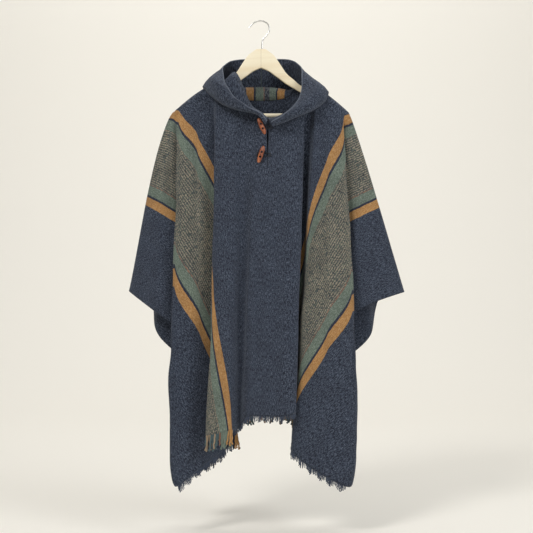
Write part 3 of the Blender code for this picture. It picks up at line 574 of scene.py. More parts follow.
NAVY = (0.060, 0.078, 0.120)
NAVY_DARK = (0.007, 0.011, 0.023)
LINE_NAVY = (0.014, 0.020, 0.040)
OCHRE = (0.470, 0.262, 0.096)
OCHRE_DEEP = (0.310, 0.155, 0.050)
SAGE = (0.180, 0.225, 0.182)
SAGE_DEEP = (0.090, 0.118, 0.096)
RUST = (0.300, 0.130, 0.070)
TAN = (0.290, 0.250, 0.190)
SLATE = (0.055, 0.072, 0.080)
HEATHER_GREY = (0.110, 0.120, 0.135)
TEAL = (0.070, 0.120, 0.130)
CHARCOAL = (0.030, 0.033, 0.034)
LINT = (0.34, 0.37, 0.43)
# Painted highlight: a lighter navy than the wool, for the bright rim along the hood's rolled mouth edge
EDGE_HIGHLIGHT_NAVY = (0.115, 0.135, 0.175)
THREAD_NAVY = (0.012, 0.015, 0.024)

# The warp from the centre out to the side edge: where each stripe starts, in metres, and its yarn
# in its light and its deep colour
WARP = (
    (0.000, NAVY, NAVY_DARK),
    (0.2235, OCHRE, OCHRE_DEEP),
    (0.2440, LINE_NAVY, LINE_NAVY),
    (0.2500, SAGE, SAGE_DEEP),
    (0.2745, RUST, SLATE),
    (0.2770, TAN, SLATE),
    (0.4180, RUST, SLATE),
    (0.4205, SAGE, SAGE_DEEP),
    (0.443, LINE_NAVY, LINE_NAVY),
    (0.449, OCHRE, OCHRE_DEEP),
    (0.4715, NAVY, NAVY_DARK),
)
# The short striped band inside the hood, above its seam, from the left
HOOD_REACH = 0.080
HOOD_WARP = (
    (-0.080, NAVY, NAVY_DARK),
    (-0.060, OCHRE, OCHRE_DEEP),
    (-0.041, LINE_NAVY, LINE_NAVY),
    (-0.036, SAGE, SAGE_DEEP),
    (-0.0155, RUST, SLATE),
    (-0.0125, HEATHER_GREY, NAVY_DARK),
    (0.000, SAGE, SAGE_DEEP),
    (0.0165, LINE_NAVY, LINE_NAVY),
    (0.0205, OCHRE, OCHRE_DEEP),
    (0.0395, NAVY, NAVY_DARK),
)
BAND_MIDDLE = 0.0217  # how far right of the centre back its chart starts
BAND_HEIGHT = 0.042
YARN = 0.0019  # the pitch of the warp and weft
TWEED_PITCH = 0.0056
TWEED = (0.2770, 0.4180)  # where the tweed starts and ends in the warp


def warp_ramp(finish, across, warp, reach, shade):
    """The yarn's colour at a place across the warp, in its light shade, 0, or its deep one, 1."""
    low = warp[0][0]
    stops = [((row[0] - low) / (reach - low), row[1 + shade]) for row in warp]
    return finish.ramp((across - low) / (reach - low), stops, "CONSTANT")


# How fine the wool's unevenness is, in steps per metre across and along the warp
FRAY = (260.0, 90.0, 1.0)
STREAK = (480.0, 120.0, 1.0)
FLECK = (460.0, 380.0, 1.0)
CLOUD = (26.0, 18.0, 1.0)
BROKEN = (60.0, 60.0, 1.0)
PATCH = (180.0, 240.0, 1.0)
NAP = (900.0, 900.0, 1.0)
FRAYED = 0.0016  # how far the edges of the stripes wander
CLOUD_DARK, CLOUD_LIGHT = (0.80, 0.80, 0.82), (1.12, 1.12, 1.10)


def wave(place, pitch):
    """The angle of a wave that comes round once in each pitch."""
    return place * (2 * math.pi / pitch)


def tweed_colour(finish, s, t, streak, fleck):
    """The tweed between the rust lines: light ends over dark picks, broken up."""
    ends = wave(s, TWEED_PITCH).sin()
    broken = finish.noise(BROKEN)
    picks = (wave(t, TWEED_PITCH * 1.3) + broken * 40.0).sin()
    check = (ends * 0.62 + picks * 0.62 + (fleck - 0.5) * 2.0).step(-0.30, 0.95)
    hue = finish.mix(finish.noise(PATCH, 1.0).step(0.4, 0.6), SLATE, SAGE_DEEP)
    dark = finish.mix(streak.step(0.35, 0.6), CHARCOAL, hue)
    return finish.mix(check, dark, TAN)


def woven_wool(name, warp, reach, band=None):
    """Brushed wool with its stripes in the warp, heathered, with the weave in its bump.

    "band" is given where the stripes fill a short band only: the middle of its chart and its height.
    """
    finish = Finish(name, roughness=0.92, sheen=(0.22, 0.45, (0.55, 0.62, 0.75)), uv="cloth")
    s, t, _ = finish.split(finish.place())
    across = s - band[0] if band else abs(s)
    across = across + (finish.noise(FRAY, 1.0) * FRAYED - FRAYED / 2)
    light = warp_ramp(finish, across, warp, reach, 0)
    deep = warp_ramp(finish, across, warp, reach, 1)
    if band:
        inside = t < band[1]
        light, deep = finish.mix(inside, NAVY, light), finish.mix(inside, NAVY_DARK, deep)
    # Heather: the yarns differ along their length, more in the warp than in the weft
    streak, fleck = finish.noise(STREAK, 3.0, 0.65), finish.noise(FLECK, 2.0, 0.6)
    heather = (streak * 0.60 + fleck * 0.40).step(0.42, 0.60)
    plain = finish.mix(heather, deep, light)
    lint = (fleck * 0.6 + streak * 0.4).step(0.52, 0.68) * 0.40
    plain = finish.mix(lint, plain, finish.mix(0.60, light, LINT))
    if not band:
        in_tweed = (across > TWEED[0]) * (across < TWEED[1])
        plain = finish.mix(in_tweed, plain, tweed_colour(finish, s, t, streak, fleck))
    shade = finish.mix(finish.noise(CLOUD, 3.0, 0.6).step(0.25, 0.75), CLOUD_DARK, CLOUD_LIGHT)
    finish.colour(finish.mix(1.0, plain, shade, "MULTIPLY"))
    finish.rough(0.96 - heather * 0.10)
    weave = wave(s, YARN).sin() * wave(t, YARN).sin()
    finish.bump(weave * 0.35 + streak * 0.8 + finish.noise(NAP) * 0.5, 0.0006, 0.8)
    return finish.material


# ---------------------------------------------------------------- cloth

FINE = 5  # columns of the finished cloth for each column of its form, and below, rows for each row
ROW_SPLITS = (2, 2, 4, 5, 8, 8, 8, 8, 8, 8, 8, 8, 8, 8, 8, 8, 8)
SHELL = 0.0021  # the finished cloth's thickness

# Soft creases laid into the cloth. Columns: (s, t) at its top, (s, t) at its end, half
# width and depth. A depth over 0 is a ridge.
FRONT_CREASES = (
    (-0.055, 0.10, -0.175, 0.80, 0.010, 0.0042),
    (-0.020, 0.22, -0.050, 0.80, 0.012, 0.0034),
    (0.030, 0.16, 0.030, 0.78, 0.010, 0.0030),
    (0.060, 0.30, 0.075, 0.80, 0.012, -0.0038),
    (-0.040, 0.24, -0.110, 0.78, 0.008, -0.0030),
    (-0.165, 0.05, -0.330, 0.45, 0.016, -0.0057),
    (-0.180, 0.03, -0.420, 0.40, 0.014, 0.0057),
    (0.165, 0.05, 0.330, 0.50, 0.016, 0.0057),
    (0.185, 0.04, 0.400, 0.46, 0.014, -0.0049),
    (-0.280, 0.02, -0.600, 0.18, 0.020, 0.0068),
    (0.300, 0.02, 0.600, 0.18, 0.020, 0.0068),
    (0.480, 0.40, 0.620, 0.80, 0.016, 0.0057),
    (-0.560, 0.45, -0.640, 0.80, 0.014, -0.0057),
)
BACK_CREASES = (
    (-0.030, 0.08, -0.070, 0.80, 0.014, 0.0046),
    (0.040, 0.08, 0.090, 0.80, 0.014, 0.0046),
    (0.000, 0.20, 0.000, 0.80, 0.012, -0.0038),
    (-0.180, 0.04, -0.360, 0.60, 0.016, 0.0057),
    (0.180, 0.04, 0.360, 0.60, 0.016, 0.0057),
    (-0.300, 0.03, -0.600, 0.30, 0.018, -0.0057),
    (0.300, 0.03, 0.600, 0.30, 0.018, -0.0057),
)


CREASE_REACH = 3  # in half widths, past which a crease no longer shows
CREASE_FADE = 0.6  # under 1, a crease keeps most of its depth up to its ends


def crease_height(creases, s, t):
    """How far all the creases together lift the cloth at a point."""
    total = 0.0
    for s0, t0, s1, t1, half, depth in creases:
        ds, dt = s1 - s0, t1 - t0
        f = ((s - s0) * ds + (t - t0) * dt) / (ds * ds + dt * dt)
        if not 0.0 < f < 1.0:
            continue
        off = math.hypot(s - s0 - ds * f, t - t0 - dt * f) / half
        if off < CREASE_REACH:
            total += depth * math.exp(-off * off) * math.sin(math.pi * f) ** CREASE_FADE
    return total


def rumple(s, t):
    """The small unevenness of heavy wool that hangs, mostly along the warp."""
    broad = noise.noise(Vector((s * 14.0, t * 5.0, 3.7))) * 0.0034
    small = noise.noise(Vector((s * 48.0, t * 16.0, 9.1))) * 0.0010
    return broad + small


def fine_rows():
    """The rows of the form, each split into the finished cloth's closer ones."""
    out = []
    for a, b, n in zip(ROWS, ROWS[1:], ROW_SPLITS):
        out += [a + (b - a) * k / n for k in range(n)]
    return out + [ROWS[-1]]


def grid_normals(grid):
    """The direction off the cloth at each point of a grid."""
    rows, columns = len(grid), len(grid[0])
    normals = []
    for r in range(rows):
        line = []
        for c in range(columns):
            du = grid[r][min(c + 1, columns - 1)] - grid[r][max(c - 1, 0)]
            dv = grid[min(r + 1, rows - 1)][c] - grid[max(r - 1, 0)][c]
            n = du.cross(dv)
            line.append(n.normalized() if n.length > 1e-12 else Vector((0.0, 0.0, 0.0)))
        normals.append(line)
    return normals


def new_piece(name, mesh, finish):
    """A mesh put into the scene as a piece, with its finish and its slot."""
    obj = bpy.data.objects.new(name, mesh)
    bpy.context.scene.collection.objects.link(obj)
    if finish:
        mesh.materials.append(finish)
    return obj


def smooth(mesh, angle=None):
    """Shade a mesh smooth, but for edges sharper than an angle in degrees."""
    mesh.shade_smooth()
    if angle:
        mesh.set_sharp_from_angle(angle=math.radians(angle))


def sheet_mesh(name, grid, chart, split=None):
    """A grid of points made a mesh with its cloth chart as a UV map.

    "split" is the column of a slit, the row at which it ends and how far each side of it opens.
    """
    index, points, charts = {}, [], []
    middle, slit_row, opening = split or (None, 0, None)
    for r, row in enumerate(grid):
        for c, p in enumerate(row):
            if c == middle and r < slit_row:
                shift = opening(r / slit_row)
                index[r, c, -1], index[r, c, 1] = len(points), len(points) + 1
                points += [p - shift, p + shift]
                charts += [chart[r][c], chart[r][c]]
            else:
                index[r, c, -1] = index[r, c, 1] = len(points)
                points.append(p)
                charts.append(chart[r][c])
    faces = []
    for r in range(len(grid) - 1):
        for c in range(len(grid[0]) - 1):
            faces.append((index[r, c, 1], index[r + 1, c, 1],
                          index[r + 1, c + 1, -1], index[r, c + 1, -1]))
    mesh = bpy.data.meshes.new(name)
    mesh.from_pydata([tuple(p) for p in points], [], faces)
    layer = mesh.uv_layers.new(name="cloth")
    for loop in mesh.loops:
        layer.data[loop.index].uv = charts[loop.vertex_index]
    smooth(mesh)
    return mesh


def shell(obj):
    """Give the cloth its thickness, half to each side."""
    wall = obj.modifiers.new("wall", "SOLIDIFY")
    wall.thickness = SHELL
    wall.offset = 0.0


FADE_ROWS, FADE_COLUMNS = 14, 6  # over which the creases start at the top and the sides
SLIT_OPEN, SLIT_GAPE = 0.0008, 0.0010  # half the slit's width, and how much wider it is further down


def finer(folds, times):
    """The same fold lines with more columns between them."""
    return [row[:STEPS] + (row[STEPS] * times,) for row in folds]


def finished_panel(name, folds, face, creases, finish, slit):
    """One panel of the cloth with its creases, and its grid of points and its chart."""
    fine = finer(folds, FINE)
    rows = [panel_row(fine, v, face) for v in fine_rows()]
    grid = [[p for p, _ in row] for row in rows]
    chart = [[st for _, st in row] for row in rows]
    normals = grid_normals(grid)
    edge = len(grid[0]) - 1
    for r, row in enumerate(grid):
        top = min(1.0, r / FADE_ROWS)
        for c, p in enumerate(row):
            s, t = chart[r][c]
            ends = min(1.0, min(c, edge - c) / FADE_COLUMNS)
            p += normals[r][c] * (crease_height(creases, s, t) + rumple(s, t)) * top * ends * face * -1
    split = None
    if slit:
        slit_row = sum(ROW_SPLITS[:SLIT_ROW])

        def opening(f):
            return Vector((SLIT_OPEN + SLIT_GAPE * math.sin(math.pi * min(1.0, f * 1.2)), 0.0, 0.0))

        split = (column_of(fine, "centre_front"), slit_row, opening)
    obj = new_piece(name, sheet_mesh(name, grid, chart, split), finish)
    shell(obj)
    return obj, grid, chart


# ---------------------------------------------------------------- hood

HOOD_FINE = 4
HOOD_FADE = 4  # steps over which its unevenness starts at each edge
HOOD_RUMPLE = 0.8
SEAM_HALF = 0.0001  # half the gap left between the two halves at the centre back


def fine_hood(side):
    """The hood half's sections at close steps, charted by distance from the seams."""
    front = panel_rows(finer(FRONT_FOLDS, HOOD_FINE), FRONT)
    back = panel_rows(finer(BACK_FOLDS, HOOD_FINE), BACK)
    return hood_sections(front, back, side, HOOD_FINE)


def finished_hood(name, side, finish):
    """One half of the hood, and its sections."""
    sections, ways, length = fine_hood(side)
    chart = []
    for section, way in zip(sections, ways):
        up, line = 0.0, []
        for i, p in enumerate(section):
            if i:
                up += (p - section[i - 1]).length
            line.append((side * (1.0 - way) * length, up))
        chart.append(line)
    normals = grid_normals(sections)
    for p in sections[-1]:
        p.x = side * SEAM_HALF
    for i, section in enumerate(sections):
        ends = min(1.0, min(i, len(sections) - 1 - i) / HOOD_FADE)
        for k, p in enumerate(section):
            s, t = chart[i][k]
            p += normals[i][k] * rumple(s + 3.0, t * 2) * HOOD_RUMPLE * ends * min(1.0, k / HOOD_FADE)
    obj = new_piece(name, sheet_mesh(name, sections, chart), finish)
    shell(obj)
    return obj, sections


# ---------------------------------------------------------------- fringe

SHORT_PITCH, LONG_PITCH = 0.0017, 0.0044  # from one navy yarn end to the next, and one coloured to the next


def repeat_tree(name, inputs):
    """A Geometry Nodes tree with its inputs: the tree, their identifiers and its node maker."""
    tree = bpy.data.node_groups.new(name, "GeometryNodeTree")
    keys = {}
    for label, kind, default in [("Geometry", "NodeSocketGeometry", None)] + inputs:
        socket = tree.interface.new_socket(label, in_out="INPUT", socket_type=kind)
        if default is not None:
            socket.default_value = default
        keys[label] = socket.identifier
    tree.interface.new_socket("Geometry", in_out="OUTPUT", socket_type="NodeSocketGeometry")

    def node(kind, settings=None, sockets=None):
        made = tree.nodes.new(kind)
        for key, value in (settings or {}).items():
            setattr(made, key, value)
        for key, value in (sockets or {}).items():
            if isinstance(value, bpy.types.NodeSocket):
                tree.links.new(value, made.inputs[key])
            else:
                made.inputs[key].default_value = value
        return made

    return tree, keys, node


def finish_tree(tree, node, instances, finish):
    """The instances made real, smooth and of one material, as what the tree gives."""
    real = node("GeometryNodeRealizeInstances", None, {"Geometry": instances})
    coloured = node("GeometryNodeSetMaterial", None, {"Geometry": real.outputs[0], "Material": finish})
    shaded = node("GeometryNodeSetShadeSmooth", None, {"Geometry": coloured.outputs[0]})
    tree.links.new(shaded.outputs[0], node("NodeGroupOutput").inputs[0])


STRAND_INPUTS = [
    ("Curl", "NodeSocketFloat", 0.0016), ("Curls", "NodeSocketFloat", 2.2),
    ("Spread", "NodeSocketFloat", 0.13), ("Uneven", "NodeSocketFloat", 0.25), ("Seed", "NodeSocketInt", 4),
]
SWAY, PUSH = 30.0, 22.0  # how much of its curl a strand shows sideways, and to the front and back
STRAND_POINTS, STRAND_SIDES = 8, 5
STRAND_THICK = 0.060  # its radius for each metre of length, because a strand is 1 m long until it is placed
STRAND_TAPER = 0.28  # the share of its thickness that it loses down to its tip
FULL_TURN = 6.283
UNEVEN_SEED = 11


def strand_tree(finish):
    """Yarn ends on the points of a hem: each a slightly curly strand that tapers."""
    tree, keys, node = repeat_tree("yarn_ends", STRAND_INPUTS)

    def sums(operation, *values):
        return node("ShaderNodeMath", {"operation": operation}, dict(enumerate(values))).outputs[0]

    given = node("NodeGroupInput").outputs
    line = node("GeometryNodeCurvePrimitiveLine", None, {"Start": (0.0, 0.0, 0.0), "End": (0.0, 0.0, -1.0)})
    fine = node("GeometryNodeResampleCurve", None, {"Curve": line.outputs[0], "Count": STRAND_POINTS})
    along_it = node("GeometryNodeSplineParameter").outputs["Factor"]
    turn = sums("MULTIPLY", sums("MULTIPLY", along_it, given["Curls"]), FULL_TURN)
    sway = sums("MULTIPLY", sums("MULTIPLY", sums("SINE", turn), given["Curl"]), SWAY)
    push = sums("MULTIPLY", sums("MULTIPLY", sums("COSINE", turn), given["Curl"]), PUSH)
    offset = node("ShaderNodeCombineXYZ", None, {
        "X": sums("MULTIPLY", sway, along_it), "Y": sums("MULTIPLY", push, along_it), "Z": 0.0}).outputs[0]
    bent = node("GeometryNodeSetPosition", None, {"Geometry": fine.outputs[0], "Offset": offset})
    thin = sums("SUBTRACT", 1.0, sums("MULTIPLY", along_it, STRAND_TAPER))
    sized = node("GeometryNodeSetCurveRadius", None, {"Curve": bent.outputs[0], "Radius": thin})
    ring = node("GeometryNodeCurvePrimitiveCircle", None, {"Resolution": STRAND_SIDES, "Radius": 1.0})
    ring_size = node("GeometryNodeTransform", None, {
        "Geometry": ring.outputs[0], "Scale": (STRAND_THICK, STRAND_THICK, STRAND_THICK)})
    tube = node("GeometryNodeCurveToMesh", None, {
        "Curve": sized.outputs[0], "Profile Curve": ring_size.outputs[0], "Fill Caps": True})
    aim = node("GeometryNodeInputNamedAttribute", {"data_type": "FLOAT_VECTOR"}, {"Name": "aim"}).outputs[0]
    size = node("GeometryNodeInputNamedAttribute", {"data_type": "FLOAT"}, {"Name": "size"}).outputs[0]
    spin = node("FunctionNodeRandomValue", {"data_type": "FLOAT_VECTOR"}, {
        0: (-1.0, -1.0, -3.1), 1: (1.0, 1.0, 3.1), "Seed": given["Seed"]}).outputs[0]
    lean = node("ShaderNodeCombineXYZ", None, {
        "X": given["Spread"], "Y": given["Spread"], "Z": 1.0}).outputs[0]
    vary = node("ShaderNodeVectorMath", {"operation": "MULTIPLY"}, {0: spin, 1: lean})
    uneven = node("FunctionNodeRandomValue", {"data_type": "FLOAT"}, {2: -1.0, 3: 1.0, "Seed": UNEVEN_SEED})
    factor = sums("ADD", 1.0, sums("MULTIPLY", uneven.outputs[1], given["Uneven"]))
    put = node("GeometryNodeInstanceOnPoints", None, {
        "Points": given["Geometry"], "Instance": tube.outputs[0], "Rotation": aim,
        "Scale": sums("MULTIPLY", size, factor)})
    turned = node("GeometryNodeRotateInstances", None, {
        "Instances": put.outputs[0], "Rotation": vary.outputs[0]})
    finish_tree(tree, node, turned.outputs[0], finish)
    return tree, keys


def plain_mesh(obj):
    """The object with its modifiers worked into a plain mesh."""
    graph = bpy.context.evaluated_depsgraph_get()
    mesh = bpy.data.meshes.new_from_object(obj.evaluated_get(graph), depsgraph=graph)
    obj.modifiers.clear()
    obj.data = mesh
    return obj


HEM_SAG = 0.6  # how much a yarn end hangs straight down, against the run of the cloth above it
ROOT_IN_HEM = 0.002
SHORT_SHARE, SHORT_WAVE, SHORT_BEAT = 0.74, 0.14, 0.37  # how the navy ends' length varies along the hem


def hem_guide(name, grid, chart, first_column, last_column):
    """Points along the hem with where each yarn end aims, its length and its place in the warp."""
    points, aims, sizes, warp = [], [], [], []
    low, above = grid[-1], grid[-3]
    carried = 0.0
    count = 0
    for c in range(first_column, last_column):
        step = (low[c + 1] - low[c]).length
        while carried < step:
            f = carried / step
            p = low[c].lerp(low[c + 1], f)
            s = chart[-1][c][0] * (1 - f) + chart[-1][c + 1][0] * f
            down = (p - above[c].lerp(above[c + 1], f)).normalized()
            down = (down + Vector((0.0, 0.0, -HEM_SAG))).normalized()
            coloured = COLOURED[0] < abs(s) < COLOURED[1]
            each = LONG_PITCH if coloured else SHORT_PITCH
            varied = SHORT_SHARE + SHORT_WAVE * math.sin(count * SHORT_BEAT)
            length = LONG_FRINGE if coloured else SHORT_FRINGE * varied
            points.append(p - down * ROOT_IN_HEM)
            aims.append(down.to_track_quat("-Z", "Y").to_euler())
            sizes.append(length)
            warp.append(s)
            count += 1
            carried += each
        carried -= step
    mesh = bpy.data.meshes.new(name)
    mesh.from_pydata([tuple(p) for p in points], [], [])
    columns = (("aim", "FLOAT_VECTOR", aims), ("size", "FLOAT", sizes), ("warp", "FLOAT", warp))
    for key, kind, values in columns:
        layer = mesh.attributes.new(key, kind, "POINT")
        for item, value in zip(layer.data, values):
            if kind == "FLOAT":
                item.value = value
            else:
                item.vector = value
    return mesh


def finished_fringe(name, grid, chart, finish, first_column, last_column, seed):
    """The yarn ends of one hem."""
    mesh = hem_guide(name, grid, chart, first_column, last_column)
    obj = new_piece(name, mesh, None)
    tree, keys = strand_tree(finish)
    ends = obj.modifiers.new("ends", "NODES")
    ends.node_group = tree
    ends[keys["Seed"]] = seed
    return plain_mesh(obj)


def yarn_finish(name):
    """The fringe: each yarn end has the colour of the warp that it ends."""
    finish = Finish(name, roughness=0.95, sheen=(0.2, 0.5, (0.6, 0.62, 0.7)))
    warp = finish.attribute("warp")
    light = warp_ramp(finish, abs(warp), WARP, HALF_WIDTH, 0)
    deep = warp_ramp(finish, abs(warp), WARP, HALF_WIDTH, 1)
    # In the tweed the ends are ochre and teal in turn
    tweed = (abs(warp) > TWEED[0]) * (abs(warp) < TWEED[1])
    turn = (warp * (math.pi / LONG_PITCH)).sin() > 0.0
    light, deep = (finish.mix(tweed, plain, finish.mix(turn, a, b))
                   for plain, a, b in ((light, TAN, TEAL), (deep, OCHRE_DEEP, SLATE)))
    spun = finish.noise((900.0, 900.0, 260.0))
    finish.colour(finish.mix(spun.step(0.3, 0.7), finish.mix(0.45, deep, light), light))
    finish.bump(spun, 0.0004, 0.6)
    return finish.material


# ---------------------------------------------------------------- wood, cord and wire

BIRCH_PALE = (0.94, 0.85, 0.64)
BIRCH_RING = (0.88, 0.755, 0.52)
BIRCH_GRAIN = (0.70, 0.53, 0.32)
BIRCH_JOINT = (0.36, 0.25, 0.14)
BIRCH_PORE = (0.45, 0.31, 0.17)
BIRCH_TURN = (0.0, 0.35, 0.0)  # the grain runs down each arm
# The third of these colours is a painted highlight for the toggles
RED_WOOD, RED_WOOD_DARK, RED_WOOD_HIGHLIGHT = (0.38, 0.110, 0.042), (0.110, 0.026, 0.012), (0.58, 0.215, 0.085)
CORD_BLACK, CORD_GREY = (0.008, 0.009, 0.012), (0.035, 0.036, 0.045)
WIRE_GREY, WIRE_LIGHT = (0.74, 0.73, 0.71), (0.84, 0.83, 0.80)


def birch_finish():
    finish = Finish("birch_lacquer", roughness=0.42, coat=(0.25, 0.2))
    grain = finish.noise((5.0, 90.0, 60.0), 4.0, 0.6, 0.4, BIRCH_TURN)
    rings = finish.noise((2.0, 30.0, 22.0), 2.0, 0.5, 1.2, BIRCH_TURN)
    pores = finish.noise((60.0, 900.0, 700.0))
    colour = finish.mix(rings.step(0.35, 0.65), BIRCH_PALE, BIRCH_RING)
    colour = finish.mix(grain.step(0.45, 0.75) * 0.32, colour, BIRCH_GRAIN)
    # The glue line where the two arms meet
    x, _, _ = finish.split(finish.place())
    joint = 1.0 - abs(x).step(0.0003, 0.0011)
    colour = finish.mix(joint * 0.35, colour, BIRCH_JOINT)
    finish.colour(finish.mix(pores.step(0.6, 0.75) * 0.12, colour, BIRCH_PORE))
    finish.rough(0.38 + grain * 0.16)
    finish.bump(grain + pores * 0.3, 0.0002, 0.3)
    return finish.material


def red_wood_finish():
    finish = Finish("red_brown_wood", roughness=0.46, coat=(0.12, 0.3))
    grain = finish.noise((700.0, 700.0, 60.0), 3.0, 0.6, 0.5)
    broad = finish.noise((120.0, 120.0, 24.0))
    colour = finish.mix(grain.step(0.35, 0.7), RED_WOOD, RED_WOOD_DARK)
    # Painted highlight: broad patches, scattered at random, lightened towards the highlight colour
    finish.colour(finish.mix(broad.step(0.45, 0.7) * 0.6, colour, RED_WOOD_HIGHLIGHT))
    finish.rough(0.32 + grain * 0.2)
    finish.bump(grain, 0.0003, 0.5)
    return finish.material


def cord_finish():
    finish = Finish("dark_cord", roughness=0.8, sheen=(0.15, 0.4, (0.5, 0.5, 0.55)))
    fibre = finish.noise((1800.0, 1800.0, 1800.0))
    finish.colour(finish.mix(fibre.step(0.35, 0.7), CORD_BLACK, CORD_GREY))
    finish.bump(fibre, 0.0002, 0.6)
    return finish.material


def wire_finish():
    finish = Finish("plated_wire", roughness=0.24, metallic=1.0)
    drawn = finish.noise((500.0, 500.0, 500.0))
    finish.colour(finish.mix(drawn.step(0.3, 0.7), WIRE_GREY, WIRE_LIGHT))
    finish.rough(0.20 + drawn * 0.14)
    return finish.material


def frames(path):
    """Two directions across a path at each of its points, that don't twist along it."""
    up = Vector((0.0, 1.0, 0.0))
    for i in range(len(path)):
        along_path = (path[min(i + 1, len(path) - 1)] - path[max(i - 1, 0)]).normalized()
        side = up.cross(along_path)
        if side.length < 1e-3:
            side = Vector((1.0, 0.0, 0.0)).cross(along_path)
        side.normalize()
        up = along_path.cross(side).normalized()
        yield side, up


def turns(count):
    """Even angles round a circle."""
    return [2 * math.pi * k / count for k in range(count)]


def bridge(bm, rings):
    """Faces between each ring of points and the next."""
    count = len(rings[0])
    for a, b in zip(rings, rings[1:]):
        for k in range(count):
            n = (k + 1) % count
            bm.faces.new((a[k], a[n], b[n], b[k]))


def mesh_from(bm, name, outwards=True):
    """The finished mesh of a bmesh, with its faces turned outwards."""
    if outwards:
        bmesh.ops.recalc_face_normals(bm, faces=bm.faces)
    mesh = bpy.data.meshes.new(name)
    bm.to_mesh(mesh)
    bm.free()
    return mesh


def tube(name, path, radius, sides):
    """A round rod or cord through points, with capped ends, as a mesh."""
    bm = bmesh.new()
    rings = []
    for p, (side, over) in zip(path, frames(path)):
        rings.append([
            bm.verts.new(p + (side * math.cos(a) + over * math.sin(a)) * radius) for a in turns(sides)])
    bridge(bm, rings)
    bm.faces.new(list(reversed(rings[0])))
    bm.faces.new(rings[-1])
    mesh = mesh_from(bm, name)
    smooth(mesh, 50)
    return mesh


def smooth_path(knots, per):
    """Close points on a smooth curve through the knots."""
    out = []
    for i in range(len(knots) - 1):
        before, after = neighbours(knots, i)
        m0, m1 = (knots[i + 1] - before) / 2, (after - knots[i]) / 2
        out += [hermite(knots[i], knots[i + 1], m0, m1, k / per) for k in range(per)]
    return out + [knots[-1]]


PLIES, PLY_SIDES = 3, 7
LAY = 0.005  # the length over which a ply winds once round the cord
PLY_OFF, PLY_THICK = 0.48, 0.56  # a ply's place and its radius, as shares of the cord's radius


def plied(name, path, radius, finish):
    """A cord laid up from plies that wind round its path, as a piece."""
    bm = bmesh.new()
    lengths = [0.0]
    for a, b in zip(path, path[1:]):
        lengths.append(lengths[-1] + (b - a).length)
    for ply in range(PLIES):
        winding = []
        for p, length, (side, over) in zip(path, lengths, frames(path)):
            a = 2 * math.pi * (length / LAY + ply / PLIES)
            winding.append(p + (side * math.cos(a) + over * math.sin(a)) * radius * PLY_OFF)
        strand = tube(name + "_ply", winding, radius * PLY_THICK, PLY_SIDES)
        bm.from_mesh(strand)
        bpy.data.meshes.remove(strand)
    mesh = mesh_from(bm, name, outwards=False)
    smooth(mesh)
    return new_piece(name, mesh, finish)


TOGGLE_SIDES, TOGGLE_RINGS = 28, 28
TOGGLE_FULL = 3.2  # how soon its ends swell to the full radius
TOGGLE_FLAT = 0.96
TOGGLE_HOLE = 0.0029
TOGGLE_HOLE_OFF = 0.0064
KNOBBLY = 0.10


def toggle_place(name):
    """The place and turn that bring an upright toggle to where it hangs."""
    (x0, z0), (x1, z1) = TOGGLE_ENDS[name]
    low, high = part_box(name)
    y = (low[1] + high[1]) / 2
    turn = Matrix.Rotation(math.atan2(x0 - x1, z0 - z1), 4, "Y")
    return Matrix.Translation(((x0 + x1) / 2, y, (z0 + z1) / 2)) @ turn


def drilled(obj, height):
    """The object with a hole right through it from front to back, at a height."""
    bm = bmesh.new()
    through = Matrix.Translation((0, 0, height)) @ Matrix.Rotation(math.pi / 2, 4, "X")
    bmesh.ops.create_cone(bm, cap_ends=True, segments=20, radius1=TOGGLE_HOLE, radius2=TOGGLE_HOLE,
                          depth=0.04, matrix=through)
    tool = bpy.data.objects.new("drill", mesh_from(bm, "drill", outwards=False))
    bpy.context.scene.collection.objects.link(tool)
    hole = obj.modifiers.new("hole", "BOOLEAN")
    hole.operation, hole.object, hole.solver = "DIFFERENCE", tool, "EXACT"
    plain_mesh(obj)
    bpy.data.objects.remove(tool)


def finished_toggle(name, finish):
    """A turned wooden toggle with two holes for its cord."""
    (x0, z0), (x1, z1) = TOGGLE_ENDS[name]
    length = math.hypot(x1 - x0, z1 - z0)
    bm = bmesh.new()
    rings = []
    for i in range(1, TOGGLE_RINGS):
        f = i / TOGGLE_RINGS
        end = min(f, 1 - f)
        r = TOGGLE_RADIUS * (1 - (1 - min(1.0, end / 0.5)) ** TOGGLE_FULL) ** 0.5
        ring = []
        for a in turns(TOGGLE_SIDES):
            lumps = noise.noise(Vector((1.1 * math.cos(a), 1.1 * math.sin(a), 7.0 * f + z0 * 40.0)))
            across = r * (1.0 + KNOBBLY * lumps)
            ring.append(bm.verts.new((
                across * math.cos(a), across * math.sin(a) * TOGGLE_FLAT, (f - 0.5) * length)))
        rings.append(ring)
    bottom, top = bm.verts.new((0, 0, -length / 2)), bm.verts.new((0, 0, length / 2))
    bridge(bm, rings)
    for k in range(TOGGLE_SIDES):
        n = (k + 1) % TOGGLE_SIDES
        bm.faces.new((bottom, rings[0][n], rings[0][k]))
        bm.faces.new((top, rings[-1][k], rings[-1][n]))
    obj = new_piece("finished_" + name, mesh_from(bm, "finished_" + name), finish)
    for height in (-TOGGLE_HOLE_OFF, TOGGLE_HOLE_OFF):
        drilled(obj, height)
    obj.data.transform(toggle_place(name))
    smooth(obj.data, 40)
    return obj


TOGGLE_CORD_RADIUS = 0.0012
TOGGLE_CORD_KNOTS = (  # (y, z) from the toggle's middle; z in shares of TOGGLE_HOLE_OFF
    (-0.0030, -1.0), (0.0030, -1.0), (0.0062, -0.8), (0.0070, 0.0),
    (0.0062, 0.8), (0.0030, 1.0), (-0.0030, 1.0),
)
CURVE_STEPS = 6  # points of a cord for each of its knots
LOOP_FULL = 1.05  # the laid loop's radius, in those of the plain one


def toggle_cord(name, finish):
    """The cord behind the toggle, with an end drawn into each of its holes."""
    place = toggle_place(name)
    knots = [place @ Vector((0.0, y, z * TOGGLE_HOLE_OFF)) for y, z in TOGGLE_CORD_KNOTS]
    return plied("cord_through_" + name, smooth_path(knots, CURVE_STEPS), TOGGLE_CORD_RADIUS, finish)


